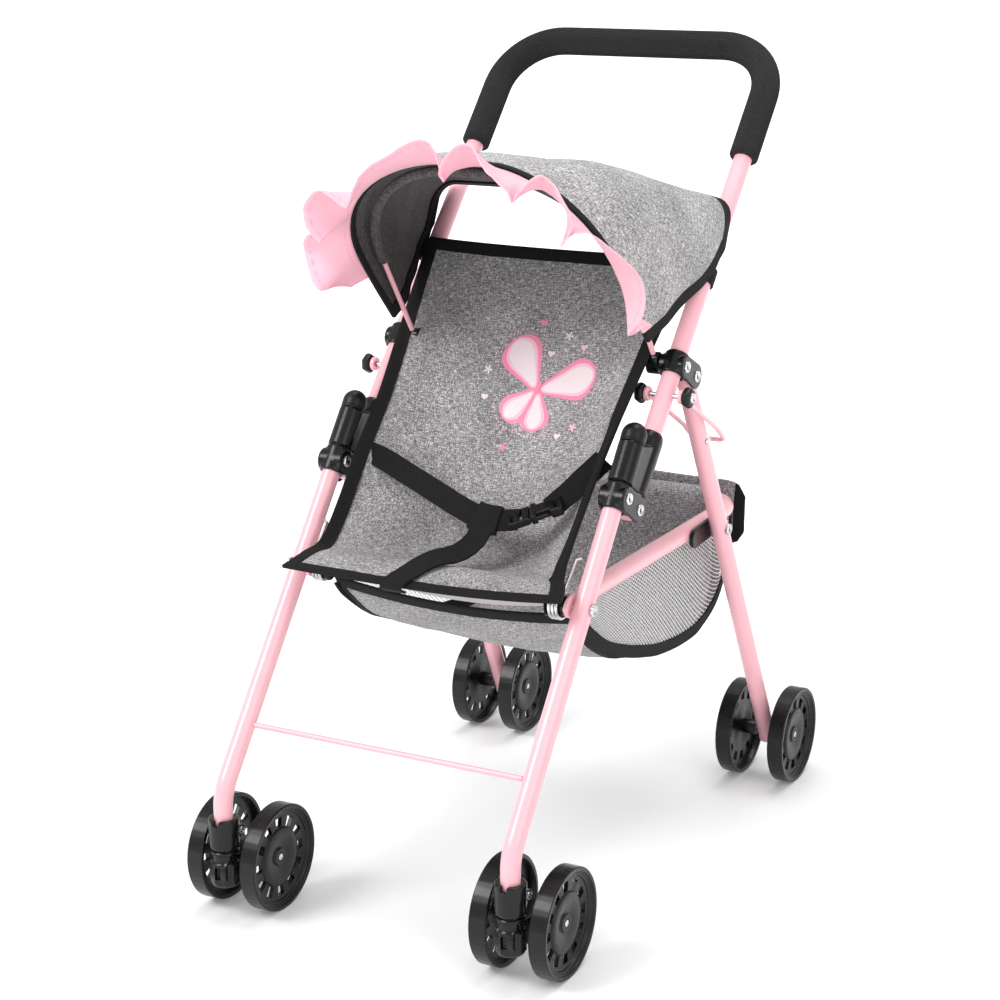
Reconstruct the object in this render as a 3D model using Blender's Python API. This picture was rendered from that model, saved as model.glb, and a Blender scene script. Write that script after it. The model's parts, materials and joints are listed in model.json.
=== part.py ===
"""A folding doll's stroller: tube frame, fabric seat, hood and basket, swivelling double front wheels.

Metres, +Z up, front towards -Y. The origin is on the floor under the middle of the stroller. The frame is
drawn in its side view, the YZ plane, and repeated at the left (-X) and the right (+X).
"""

import math

import bmesh
import bpy
from mathutils import Matrix, Vector

# ---- Driving dimensions ----------------------------------------------------------------------------------
GAP = 0.0003  # between pieces that touch
TUBE_R = 0.00635
TUBE_SIDES = 12
BORE_R = TUBE_R + GAP
FRONT_HALF_TRACK = 0.1056
REAR_HALF_TRACK = 0.1138

WHEEL_R = 0.036
WHEEL_HALF_WIDTH = 0.006
WHEEL_SPACING = 0.0415
WHEEL_BORE_R = 0.0024
AXLE_R = 0.0020
SWIVEL_Y = -0.214
CASTER_TRAIL = 0.030
REAR_AXLE_Y = 0.184

# Front legs: upright in the casters, then leaning back in a straight line.
LEG_FOOT_Z = 0.058
LEG_BEND_Z = 0.0874
LEG_BEND_R = 0.030
LEG_LEAN = math.radians(37.05)
LEG_END = 0.2474
RAIL_PIVOT_T = 0.162
BRACKET_T = (0.2295, 0.2476)
PIVOT_T = 0.240
PIVOT_OFFSET = 0.0205
FOOTREST_T = 0.0485

# Handle: its legs start at the fold pivot and lean back further than the front legs.
HANDLE_LEAN = math.radians(41.48)
HANDLE_LENGTH = 0.3709
HANDLE_BEND_R = 0.043
GRIP_R = 0.0100
GRIP_LEG = 0.0952
KNOB_T = 0.085
CLAMP_T = (0.1000, 0.1160)
CLAMP_PIVOT_T = 0.1118
CLAMP_PIVOT_OFFSET = 0.0190
HOOP_T = 0.1078
COLLAR_R = 0.0083
CHEEK_R = 0.0085
SLOT_HALF = 0.0070
CHEEK_HALF = 0.0090

# Rail that carries the basket: a U lying level, open at the front.
RAIL_X = 0.0920
RAIL_BEND_R = 0.028
RAIL_REAR_Y = 0.167

# Wire parts.
WIRE_R = 0.0018
HOOP_LEAN = math.radians(-34.5)
HOOP_LENGTH = 0.160
HOOP_X = 0.0925
HOOP_CORNER_R = 0.080
BAIL_X = 0.0122
BAIL_R = 0.0015
BAIL_DROP = math.radians(29.0)
BAIL_LENGTH = 0.088

SIDES = (("L", -1), ("R", 1))


# ---- Places in the side view -----------------------------------------------------------------------------
def along(start, lean, t, offset=0.0):
    """Point t up a line that leans back from start, moved offset behind it, as (y, z)."""
    up = Vector((math.sin(lean), math.cos(lean)))
    behind = Vector((math.cos(lean), -math.sin(lean)))
    return Vector(start) + t * up + offset * behind


def leg_point(t, offset=0.0):
    return along((SWIVEL_Y, LEG_BEND_Z), LEG_LEAN, t, offset)


FOLD_PIVOT = leg_point(PIVOT_T, PIVOT_OFFSET)


def handle_point(t, offset=0.0):
    return along(FOLD_PIVOT, HANDLE_LEAN, t, offset)


RAIL_PIVOT = leg_point(RAIL_PIVOT_T)
REAR_LEG_PIVOT = handle_point(CLAMP_PIVOT_T, CLAMP_PIVOT_OFFSET)
HOOP_PIVOT = handle_point(HOOP_T)
KNOB_AXIS = handle_point(KNOB_T)
RAIL_Z = RAIL_PIVOT.y
REAR_LEG_SPAN = (REAR_LEG_PIVOT.y - WHEEL_R)


def rear_leg_place(z):
    """Centre of a rear leg at height z: its distance from the middle, and its y."""
    down = (REAR_LEG_PIVOT.y - z) / REAR_LEG_SPAN
    x = FRONT_HALF_TRACK + down * (REAR_HALF_TRACK - FRONT_HALF_TRACK)
    y = REAR_LEG_PIVOT.x + down * (REAR_AXLE_Y - REAR_LEG_PIVOT.x)
    return x, y


# ---- Materials -------------------------------------------------------------------------------------------
def principled(name, colour, roughness, metallic=0.0):
    made = bpy.data.materials.new(name)
    made.use_nodes = True
    shader = made.node_tree.nodes["Principled BSDF"]
    shader.inputs["Base Color"].default_value = (*colour, 1.0)
    shader.inputs["Roughness"].default_value = roughness
    shader.inputs["Metallic"].default_value = metallic
    made.diffuse_color = (*colour, 1.0)
    return made


for old in list(bpy.data.objects):
    bpy.data.objects.remove(old)

PINK = principled("pink_paint", (0.92, 0.50, 0.56), 0.28)
BLACK = principled("black_plastic", (0.012, 0.012, 0.013), 0.30)
FOAM = principled("black_foam", (0.022, 0.022, 0.024), 0.75)
STEEL = principled("steel", (0.70, 0.70, 0.72), 0.25, 1.0)
MELANGE = principled("grey_fabric", (0.27, 0.25, 0.26), 0.90)
WEBBING = principled("black_webbing", (0.012, 0.012, 0.014), 0.80)
SATIN = principled("pink_satin", (0.95, 0.55, 0.60), 0.45)
MESH = principled("basket_fabric", (0.45, 0.43, 0.44), 0.90)


# ---- Mesh building ---------------------------------------------------------------------------------------
def node(name, bm, material, smooth=True):
    """Turns a bmesh into an object with outward normals."""
    bmesh.ops.recalc_face_normals(bm, faces=bm.faces[:])
    mesh = bpy.data.meshes.new(name)
    bm.to_mesh(mesh)
    bm.free()
    if smooth:
        mesh.shade_smooth()
        mesh.set_sharp_from_angle(angle=math.radians(35))
    mesh.materials.append(material)
    made = bpy.data.objects.new(name, mesh)
    bpy.context.scene.collection.objects.link(made)
    return made


def helper(name, bm):
    """A shape that cuts or joins another, and isn't part of the stroller itself."""
    made = node(name, bm, BLACK, smooth=False)
    made.hide_render = True
    made.display_type = "WIRE"
    return made


def boolean(target, other, operation):
    modifier = target.modifiers.new(operation.lower(), "BOOLEAN")
    modifier.operation = operation
    modifier.solver = "EXACT"
    modifier.object = other


def set_origin(made, place):
    """Moves an object's origin without moving its shape."""
    place = Vector(place)
    made.data.transform(Matrix.Translation(-place))
    made.location = place


def bridge(bm, first, second):
    count = len(first)
    for i in range(count):
        j = (i + 1) % count
        bm.faces.new((first[i], first[j], second[j], second[i]))


def rings_along(bm, points, radius, sides, across):
    """Rings of a round tube along points. across is the axis that the bends turn about."""
    rings = []
    across = Vector(across).normalized()
    for i, point in enumerate(points):
        before = points[max(i - 1, 0)]
        after = points[min(i + 1, len(points) - 1)]
        incoming = (point - before).normalized() if i else (after - point).normalized()
        outgoing = (after - point).normalized() if i < len(points) - 1 else incoming
        tangent = (incoming + outgoing).normalized()
        stretch = 1.0 / max(tangent.dot(incoming), 0.5)
        side = tangent.cross(across).normalized()
        ring = []
        for k in range(sides):
            angle = 2 * math.pi * (k + 0.5) / sides
            offset = radius * (math.cos(angle) * stretch * side + math.sin(angle) * across)
            ring.append(bm.verts.new(point + offset))
        rings.append(ring)
    return rings


def tube(bm, points, radius, sides, across):
    """A solid round bar along points."""
    rings = rings_along(bm, points, radius, sides, across)
    for first, second in zip(rings, rings[1:]):
        bridge(bm, first, second)
    bm.faces.new(rings[0])
    bm.faces.new(rings[-1])


def pipe(bm, points, outer, inner, sides, across):
    """A round sleeve along points, open at both ends."""
    outside = rings_along(bm, points, outer, sides, across)
    inside = rings_along(bm, points, inner, sides, across)
    for rings in (outside, inside):
        for first, second in zip(rings, rings[1:]):
            bridge(bm, first, second)
    bridge(bm, outside[0], inside[0])
    bridge(bm, outside[-1], inside[-1])


def rounded(corners, radius, steps=5):
    """A path through corners, each inner one rounded to an arc."""
    path = [corners[0]]
    for before, corner, after in zip(corners, corners[1:], corners[2:]):
        a = (before - corner).normalized()
        b = (after - corner).normalized()
        half = a.angle(b) / 2
        reach = radius / math.tan(half)
        centre = corner + (a + b).normalized() * radius / math.sin(half)
        start = corner + a * reach - centre
        end = corner + b * reach - centre
        for i in range(steps + 1):
            path.append(centre + radius * start.slerp(end, i / steps).normalized())
    path.append(corners[-1])
    return path


def frame_matrix(origin, axis):
    """Turns local (radial, radial, along) coordinates so that the third runs along axis at origin."""
    turn = Vector((0, 0, 1)).rotation_difference(Vector(axis)).to_matrix().to_4x4()
    return Matrix.Translation(origin) @ turn


def turned(bm, profile, segments, matrix, closed=False):
    """Turns a profile of (radius, along) round an axis. A closed profile makes a ring with a bore."""
    rings = []
    for radius, height in profile:
        if radius == 0:
            rings.append([bm.verts.new(matrix @ Vector((0, 0, height)))])
            continue
        ring = []
        for k in range(segments):
            angle = 2 * math.pi * (k + 0.5) / segments
            place = Vector((radius * math.cos(angle), radius * math.sin(angle), height))
            ring.append(bm.verts.new(matrix @ place))
        rings.append(ring)
    pairs = list(zip(rings, rings[1:]))
    if closed:
        pairs.append((rings[-1], rings[0]))
    for first, second in pairs:
        if len(first) == len(second):
            bridge(bm, first, second)
            continue
        pole, ring = (first[0], second) if len(first) == 1 else (second[0], first)
        for k in range(segments):
            bm.faces.new((pole, ring[k], ring[(k + 1) % segments]))


def rod(radius, start, end):
    """Profile of a plain cylinder."""
    return [(0, start), (radius, start), (radius, end), (0, end)]


def prism(bm, outline, x_low, x_high):
    """Extrudes a side-view outline of (y, z) from x_low to x_high."""
    low = [bm.verts.new((x_low, y, z)) for y, z in outline]
    high = [bm.verts.new((x_high, y, z)) for y, z in outline]
    bridge(bm, low, high)
    bm.faces.new(low)
    bm.faces.new(high)


def capsule(start, end, start_r, end_r, steps=6):
    """Outline of two circles joined by straight sides, as side-view points."""
    axis = end - start
    facing = math.atan2(axis.y, axis.x)
    lean = math.acos((start_r - end_r) / axis.length)
    outline = []
    for centre, radius, first, last in (
        (end, end_r, facing - lean, facing + lean),
        (start, start_r, facing + lean, facing + 2 * math.pi - lean),
    ):
        for i in range(steps + 1):
            angle = first + (last - first) * i / steps
            outline.append((centre.x + radius * math.cos(angle), centre.y + radius * math.sin(angle)))
    return outline


def lateral(x, place):
    """Matrix of an axis along +X through a side-view place."""
    return frame_matrix((x, place.x, place.y), (1, 0, 0))


def drill(target, name, x, place, radius, half_length):
    """A hole along X through a piece."""
    bm = bmesh.new()
    turned(bm, rod(radius, -half_length, half_length), 12, lateral(x, place))
    boolean(target, helper(name, bm), "DIFFERENCE")


def at_x(x, place):
    return Vector((x, place.x, place.y))


# ---- Frame tubes -----------------------------------------------------------------------------------------
def front_leg(tag, side):
    x = side * FRONT_HALF_TRACK
    corners = [
        Vector((x, SWIVEL_Y, LEG_FOOT_Z)),
        Vector((x, SWIVEL_Y, LEG_BEND_Z)),
        at_x(x, leg_point(LEG_END)),
    ]
    bm = bmesh.new()
    tube(bm, rounded(corners, LEG_BEND_R), TUBE_R, TUBE_SIDES, (1, 0, 0))
    leg = node(f"front_leg_{tag}", bm, PINK)
    drill(leg, f"leg_hole_{tag}", x, RAIL_PIVOT, 0.0023, 0.012)


def footrest_bar():
    reach = FRONT_HALF_TRACK - TUBE_R - GAP
    place = leg_point(FOOTREST_T)
    bm = bmesh.new()
    tube(bm, [at_x(-reach, place), at_x(reach, place)], WIRE_R, 8, (0, 1, 0))
    node("footrest_bar", bm, PINK)


def handle_path(leg_length):
    """The handle's centre line, with legs that run leg_length down from the crossbar."""
    top = handle_point(HANDLE_LENGTH)
    foot = handle_point(HANDLE_LENGTH - leg_length)
    x = FRONT_HALF_TRACK
    corners = [at_x(-x, foot), at_x(-x, top), at_x(x, top), at_x(x, foot)]
    return rounded(corners, HANDLE_BEND_R, 7)


def handle():
    across = Vector((0, math.cos(HANDLE_LEAN), -math.sin(HANDLE_LEAN)))
    bm = bmesh.new()
    tube(bm, handle_path(HANDLE_LENGTH + 0.006), TUBE_R, TUBE_SIDES, across)
    made = node("handle_tube", bm, PINK)
    for tag, side in SIDES:
        drill(made, f"fold_hole_{tag}", side * FRONT_HALF_TRACK, FOLD_PIVOT, 0.0019, 0.012)
        drill(made, f"knob_hole_{tag}", side * FRONT_HALF_TRACK, KNOB_AXIS, 0.0019, 0.012)
    bm = bmesh.new()
    pipe(bm, handle_path(GRIP_LEG), GRIP_R, TUBE_R + GAP, TUBE_SIDES, across)
    node("handle_grip", bm, FOAM)


def rear_leg(tag, side):
    top_x, _ = rear_leg_place(REAR_LEG_PIVOT.y)
    top = Vector((side * top_x, REAR_LEG_PIVOT.x, REAR_LEG_PIVOT.y))
    axle = Vector((side * REAR_HALF_TRACK, REAR_AXLE_Y, WHEEL_R))
    down = (axle - top).normalized()
    bm = bmesh.new()
    tube(bm, [top - 0.006 * down, axle + 0.009 * down], TUBE_R, TUBE_SIDES, (1, 0, 0))
    leg = node(f"rear_leg_{tag}", bm, PINK)
    drill(leg, f"top_hole_{tag}", top.x, REAR_LEG_PIVOT, 0.0019, 0.012)
    drill(leg, f"axle_hole_{tag}", axle.x, Vector((axle.y, axle.z)), AXLE_R + GAP, 0.012)
    bolt_x, bolt_y = rear_leg_place(RAIL_Z)
    drill(leg, f"bolt_hole_{tag}", side * bolt_x, Vector((bolt_y, RAIL_Z)), 0.0023, 0.012)


def seat_rail():
    """A level U of tube. Each front end is pressed flat into an eye on the inside of a front leg."""
    front = RAIL_PIVOT.x + 0.016
    corners = [
        Vector((-RAIL_X, front, RAIL_Z)),
        Vector((-RAIL_X, RAIL_REAR_Y, RAIL_Z)),
        Vector((RAIL_X, RAIL_REAR_Y, RAIL_Z)),
        Vector((RAIL_X, front, RAIL_Z)),
    ]
    bm = bmesh.new()
    tube(bm, rounded(corners, RAIL_BEND_R, 6), TUBE_R, TUBE_SIDES, (0, 0, 1))
    rail = node("seat_rail", bm, PINK)
    tongue_end = Vector((front + 0.010, RAIL_Z))
    for tag, side in SIDES:
        bm = bmesh.new()
        inner, outer = sorted((side * 0.0946, side * 0.0984))
        prism(bm, capsule(RAIL_PIVOT, tongue_end, 0.0070, 0.0050), inner, outer)
        boolean(rail, helper(f"rail_eye_{tag}", bm), "UNION")
    for tag, side in SIDES:
        drill(rail, f"rail_hole_{tag}", side * 0.0965, RAIL_PIVOT, 0.0023, 0.004)


# ---- Joints of the frame ---------------------------------------------------------------------------------
def hinge_block(name, tag, side, axis_point, lean, span, pivot, pin_hole):
    """A collar round a tube with two cheeks that reach back to a pivot behind it."""
    x = side * FRONT_HALF_TRACK
    foot, head = (axis_point(t) for t in span)
    up = (0, math.sin(lean), math.cos(lean))
    length = span[1] - span[0]
    bm = bmesh.new()
    turned(bm, rod(COLLAR_R, 0, length), 16, frame_matrix(at_x(x, foot), up))
    block = node(f"{name}_{tag}", bm, BLACK)
    bm = bmesh.new()
    middle = (foot + head) / 2
    prism(bm, capsule(middle, pivot, 0.0060, CHEEK_R), x - CHEEK_HALF, x + CHEEK_HALF)
    boolean(block, helper(f"{name}_cheeks_{tag}", bm), "UNION")
    bm = bmesh.new()
    turned(bm, rod(BORE_R, -0.01, length + 0.01), TUBE_SIDES, frame_matrix(at_x(x, foot), up))
    boolean(block, helper(f"{name}_bore_{tag}", bm), "DIFFERENCE")
    bm = bmesh.new()
    behind = Vector((math.cos(lean), -math.sin(lean)))
    rise = Vector((math.sin(lean), math.cos(lean)))
    near = pivot - 0.0105 * behind
    far = pivot + 0.020 * behind
    slot = [near - 0.03 * rise, far - 0.03 * rise, far + 0.03 * rise, near + 0.03 * rise]
    prism(bm, [tuple(p) for p in slot], x - SLOT_HALF, x + SLOT_HALF)
    boolean(block, helper(f"{name}_slot_{tag}", bm), "DIFFERENCE")
    drill(block, f"{pin_hole}_{tag}", x, pivot, 0.0019, 0.015)


def rivet(name, tag, side, place, reach, head_r=0.0036):
    """A pin along X with a domed head at each end."""
    dome = 0.0009
    profile = [(0, -reach - dome), (head_r * 0.7, -reach - dome), (head_r, -reach), (0.0016, -reach)]
    profile += [(0.0016, reach), (head_r, reach), (head_r * 0.7, reach + dome), (0, reach + dome)]
    bm = bmesh.new()
    turned(bm, profile, 12, lateral(side * FRONT_HALF_TRACK, place))
    made = node(f"{name}_{tag}", bm, STEEL)
    set_origin(made, at_x(side * FRONT_HALF_TRACK, place))


def lock_sleeve(tag, side):
    """Slides on the handle tube. Its front lobe stands over the end of the front leg, under a domed cap."""
    x = side * FRONT_HALF_TRACK
    lobe_t = (LEG_END + 0.0012, 0.2765)
    rear_t = (0.0105, 0.0555)
    leg_up = (0, math.sin(LEG_LEAN), math.cos(LEG_LEAN))
    handle_up = (0, math.sin(HANDLE_LEAN), math.cos(HANDLE_LEAN))
    bm = bmesh.new()
    lobe = rod(COLLAR_R, 0, lobe_t[1] - lobe_t[0])
    turned(bm, lobe, 16, frame_matrix(at_x(x, leg_point(lobe_t[0])), leg_up))
    sleeve = node(f"lock_sleeve_{tag}", bm, BLACK)
    length = rear_t[1] - rear_t[0]
    bm = bmesh.new()
    body = [(0, 0), (0.0090, 0), (0.0090, length - 0.004), (0.0078, length), (0, length)]
    turned(bm, body, 16, frame_matrix(at_x(x, handle_point(rear_t[0])), handle_up))
    boolean(sleeve, helper(f"sleeve_rear_{tag}", bm), "UNION")
    bm = bmesh.new()
    web = [leg_point(lobe_t[0]), handle_point(rear_t[0]), handle_point(0.0355), leg_point(lobe_t[1])]
    prism(bm, [tuple(p) for p in web], x - 0.0068, x + 0.0068)
    boolean(sleeve, helper(f"sleeve_web_{tag}", bm), "UNION")
    bm = bmesh.new()
    bore = rod(TUBE_R + 0.0004, -0.02, length + 0.02)
    turned(bm, bore, TUBE_SIDES, frame_matrix(at_x(x, handle_point(rear_t[0])), handle_up))
    boolean(sleeve, helper(f"sleeve_bore_{tag}", bm), "DIFFERENCE")
    cap_r = 0.0085
    dome = [(0, 0), (cap_r * 0.9, 0), (cap_r, 0.0015), (cap_r, 0.0060)]
    for step in range(1, 5):
        angle = math.pi / 2 * step / 4
        dome.append((cap_r * math.cos(angle) if step < 4 else 0, 0.0060 + cap_r * math.sin(angle)))
    bm = bmesh.new()
    turned(bm, dome, 16, frame_matrix(at_x(x, leg_point(lobe_t[1] + GAP)), leg_up))
    node(f"lock_cap_{tag}", bm, BLACK)


def knob_bolt(tag, side):
    """A bolt through the handle tube with a six-sided knob on each end."""
    x = side * FRONT_HALF_TRACK
    bm = bmesh.new()
    turned(bm, rod(0.0016, -0.0150, 0.0150), 12, lateral(x, KNOB_AXIS))
    bolt = node(f"knob_bolt_{tag}", bm, BLACK)
    for end in (-1, 1):
        bm = bmesh.new()
        low, high = sorted((end * 0.0142, end * 0.0200))
        knob = [(0, low), (0.0066, low), (0.0074, (low + high) / 2), (0.0066, high), (0, high)]
        turned(bm, knob, 6, lateral(x, KNOB_AXIS))
        boolean(bolt, helper(f"knob_{tag}_{end + 1}", bm), "UNION")


def wire_bail(tag, side):
    """A wire loop that hangs from the knob bolt and reaches round the back of the rear leg."""
    x = side * FRONT_HALF_TRACK
    run = Vector((math.cos(BAIL_DROP), -math.sin(BAIL_DROP)))
    start = KNOB_AXIS + 0.0036 * run
    bend = KNOB_AXIS + 0.80 * BAIL_LENGTH * run
    end = KNOB_AXIS + BAIL_LENGTH * run + Vector((0, -0.003))
    corners = [at_x(x - BAIL_X, start), at_x(x - BAIL_X, bend), at_x(x - BAIL_X, end)]
    corners += [at_x(x + BAIL_X, end), at_x(x + BAIL_X, bend), at_x(x + BAIL_X, start)]
    bm = bmesh.new()
    tube(bm, rounded(corners, 0.006, 3), BAIL_R, 8, (0, math.sin(BAIL_DROP), math.cos(BAIL_DROP)))
    bail = node(f"wire_bail_{tag}", bm, PINK)
    for end in (-1, 1):
        bm = bmesh.new()
        ring = [(0.0021, -BAIL_R), (0.0050, -BAIL_R), (0.0050, BAIL_R), (0.0021, BAIL_R)]
        turned(bm, ring, 12, lateral(x + end * BAIL_X, KNOB_AXIS), closed=True)
        boolean(bail, helper(f"bail_eye_{tag}_{end + 1}", bm), "UNION")
    set_origin(bail, at_x(x, KNOB_AXIS))


def rail_pivot(tag, side):
    """Bolt through the front leg and the rail's eye, and the spool that the spring is wound on."""
    x = side * FRONT_HALF_TRACK
    head = [(0, side * 0.0090), (0.0028, side * 0.0090), (0.0042, side * 0.0066), (0.0020, side * 0.0066)]
    profile = head + [(0.0020, side * -0.0110), (0, side * -0.0110)]
    bm = bmesh.new()
    turned(bm, profile, 12, lateral(x, RAIL_PIVOT))
    node(f"rail_pivot_{tag}", bm, STEEL)
    low, high = 0.0812, 0.0942
    spool = [(0, low), (0.0078, low), (0.0078, low + 0.0012), (0.0062, low + 0.0012)]
    spool += [(0.0062, high), (0, high)]
    bm = bmesh.new()
    turned(bm, [(r, side * along_x) for r, along_x in spool], 16, lateral(0, RAIL_PIVOT))
    node(f"spring_spool_{tag}", bm, BLACK)


def torsion_spring(tag, side):
    """Three and a half turns of wire on the spool, with one end lying up the front leg."""
    coil_r = 0.0079
    wire_r = 0.0009
    turns = 3.5
    steps = 36
    start_angle = math.radians(90) + LEG_LEAN
    points = []
    for i in range(steps + 1):
        angle = start_angle - 2 * math.pi * turns * (1 - i / steps)
        x = side * (0.0840 + 0.0085 * i / steps)
        points.append(Vector((x, RAIL_PIVOT.x + coil_r * math.cos(angle), RAIL_Z + coil_r * math.sin(angle))))
    x_end = side * 0.0930
    tip = leg_point(RAIL_PIVOT_T + 0.030, -0.0045)
    points.append(at_x(x_end, tip))
    bm = bmesh.new()
    tube(bm, points, wire_r, 6, (1, 0, 0))
    node(f"torsion_spring_{tag}", bm, STEEL)


def rail_spacer(tag, side):
    """Black block between the rail and the rear leg."""
    _, bolt_y = rear_leg_place(RAIL_Z)
    inner, outer = sorted((side * 0.0987, side * 0.1019))
    bm = bmesh.new()
    start = Vector((bolt_y - 0.024, RAIL_Z - 0.003))
    end = Vector((bolt_y, RAIL_Z - 0.001))
    prism(bm, capsule(start, end, 0.0068, 0.0072), inner, outer)
    node(f"rail_spacer_{tag}", bm, BLACK)
    leg_x, _ = rear_leg_place(RAIL_Z)
    bm = bmesh.new()
    head = [(0, side * 0.0092), (0.0026, side * 0.0092), (0.0040, side * 0.0068), (0.0020, side * 0.0068)]
    shank = [(0.0020, side * -0.0058), (0, side * -0.0058)]
    turned(bm, head + shank, 12, lateral(side * leg_x, Vector((bolt_y, RAIL_Z))))
    node(f"rail_bolt_{tag}", bm, STEEL)


# ---- Wheels ----------------------------------------------------------------------------------------------
def wheel(name, axle_x, axle_y, outward):
    """A dished plastic wheel, hollow on its inner side, with 12 windows round its web."""
    low, high = 0.0212, 0.0268
    web_out, web_in = 0.0014, -0.0012
    half = WHEEL_HALF_WIDTH
    window_turn = math.radians(11)
    tread_r = WHEEL_R / math.cos(window_turn / 2)
    profile = [
        (WHEEL_BORE_R, -0.0135),
        (0.0052, -0.0135),
        (0.0052, web_in),
        (low, web_in),
        (high, web_in),
        (0.0322, web_in),
        (0.0328, -half),
        (tread_r, -half),
        (tread_r, half),
        (0.0324, half),
        (0.0304, web_out),
        (high, web_out),
        (low, web_out),
        (0.0125, 0.0030),
        (WHEEL_BORE_R, 0.0022),
    ]
    pitch = 2 * math.pi / 12
    angles = []
    for k in range(12):
        angles += [k * pitch - window_turn / 2, k * pitch + window_turn / 2]
    bm = bmesh.new()
    centre = Vector((axle_x, axle_y, WHEEL_R))
    rings = []
    for radius, height in profile:
        ring = []
        for angle in angles:
            place = Vector((outward * height, radius * math.cos(angle), radius * math.sin(angle)))
            ring.append(bm.verts.new(place))
        rings.append(ring)
    count = len(angles)
    for i, ring in enumerate(rings):
        following = rings[(i + 1) % len(rings)]
        on_web = i in (3, 11)
        for k in range(count):
            if on_web and k % 2 == 0:
                continue
            j = (k + 1) % count
            bm.faces.new((ring[k], ring[j], following[j], following[k]))
    for k in range(0, count, 2):
        j = k + 1
        inner = [rings[3][k], rings[3][j], rings[4][j], rings[4][k]]
        outer = [rings[12][k], rings[12][j], rings[11][j], rings[11][k]]
        bridge(bm, inner, outer)
    made = node(name, bm, BLACK)
    made.location = centre


def axle(name, x, y):
    """A steel pin through both wheels, with a small head outside each."""
    reach = WHEEL_SPACING / 2 + 0.0026
    head = [(0, -reach - 0.0010), (0.0030, -reach - 0.0010), (0.0030, -reach), (AXLE_R, -reach)]
    profile = head + [(r, -h) for r, h in reversed(head)]
    bm = bmesh.new()
    turned(bm, profile, 12, lateral(x, Vector((y, WHEEL_R))))
    node(name, bm, STEEL)


def caster(tag, side):
    """Front wheel mount: a collar fixed on the leg, and a fork that swivels under it and trails the axle."""
    x = side * FRONT_HALF_TRACK
    up = Matrix.Translation((x, SWIVEL_Y, 0))
    collar_r = 0.0100
    cup = [(0, 0.0500), (0.0085, 0.0500), (collar_r, 0.0515), (collar_r, 0.0700), (BORE_R, 0.0700)]
    cup += [(BORE_R, LEG_FOOT_Z - GAP), (0, LEG_FOOT_Z - GAP)]
    bm = bmesh.new()
    turned(bm, cup, 16, up)
    collar = node(f"caster_collar_{tag}", bm, BLACK)
    bm = bmesh.new()
    ear = capsule(Vector((SWIVEL_Y, 0.0610)), Vector((SWIVEL_Y + 0.0080, 0.0610)), 0.0046, 0.0032)
    ear_x = sorted((x + side * 0.0030, x + side * 0.0088))
    prism(bm, ear, ear_x[0], ear_x[1])
    boolean(collar, helper(f"collar_ear_{tag}", bm), "UNION")
    bm = bmesh.new()
    turned(bm, rod(BORE_R, LEG_FOOT_Z - GAP, 0.0800), TUBE_SIDES, up)
    boolean(collar, helper(f"collar_bore_{tag}", bm), "DIFFERENCE")
    bm = bmesh.new()
    body = [(0, 0.0245), (0.0088, 0.0245), (0.0096, 0.0262), (0.0096, 0.0440), (0.0078, 0.0455)]
    body += [(0.0078, 0.0497), (0, 0.0497)]
    turned(bm, body, 16, up)
    fork = node(f"caster_fork_{tag}", bm, BLACK)
    bm = bmesh.new()
    axle_place = Vector((SWIVEL_Y + CASTER_TRAIL, WHEEL_R))
    arm = capsule(Vector((SWIVEL_Y, WHEEL_R)), axle_place, 0.0090, 0.0062)
    prism(bm, arm, x - 0.0066, x + 0.0066)
    boolean(fork, helper(f"fork_arm_{tag}", bm), "UNION")
    drill(fork, f"fork_hole_{tag}", x, axle_place, AXLE_R + GAP, 0.02)
    set_origin(fork, (x, SWIVEL_Y, WHEEL_R))


def running_gear():
    for tag, side in SIDES:
        caster(tag, side)
        for end, x, y in (
            ("front", side * FRONT_HALF_TRACK, SWIVEL_Y + CASTER_TRAIL),
            ("rear", side * REAR_HALF_TRACK, REAR_AXLE_Y),
        ):
            axle(f"{end}_axle_{tag}", x, y)
            for place, outward in (("outer", side), ("inner", -side)):
                name = f"{end}_wheel_{tag}_{place}"
                wheel(name, x + outward * WHEEL_SPACING / 2, y, outward)


# ---- Hood ------------------------------------------------------------------------------------------------
def hoop_point(t):
    return along(HOOP_PIVOT, HOOP_LEAN, t)


def canopy_hoop():
    """Wire arch over the seat, in a pivoting socket on the inner side of each top clamp."""
    top = hoop_point(HOOP_LENGTH)
    foot = hoop_point(0.0102)
    corners = [at_x(-HOOP_X, foot), at_x(-HOOP_X, top), at_x(HOOP_X, top), at_x(HOOP_X, foot)]
    bm = bmesh.new()
    plane = (0, math.cos(HOOP_LEAN), -math.sin(HOOP_LEAN))
    tube(bm, rounded(corners, HOOP_CORNER_R, 7), WIRE_R, 8, plane)
    hoop = node("canopy_hoop", bm, PINK)
    set_origin(hoop, at_x(0, HOOP_PIVOT))
    for tag, side in SIDES:
        inner, outer = sorted((side * 0.0872, side * 0.0962))
        bm = bmesh.new()
        prism(bm, capsule(HOOP_PIVOT, hoop_point(0.0045), 0.0068, 0.0052), inner, outer)
        node(f"hoop_socket_{tag}", bm, BLACK)


def shell(name, rows, thickness, material):
    """A closed sheet of even thickness over a grid of points, thickened on the side that its normals face."""
    bm = bmesh.new()
    verts = [[bm.verts.new(point) for point in row] for row in rows]
    for first, second in zip(verts, verts[1:]):
        for i in range(len(first) - 1):
            bm.faces.new((first[i], first[i + 1], second[i + 1], second[i]))
    made = node(name, bm, material)
    solid = made.modifiers.new("thickness", "SOLIDIFY")
    solid.thickness = thickness
    solid.offset = 1.0
    solid.use_even_offset = True
    return made


def arch(half_width, corner_r, foot, top, steps=4):
    """Points of an upside-down U from the left foot to the right, foot and top being side-view points."""
    corners = [at_x(-half_width, foot), at_x(-half_width, top), at_x(half_width, top)]
    corners.append(at_x(half_width, foot))
    return rounded(corners, corner_r, steps)


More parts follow.
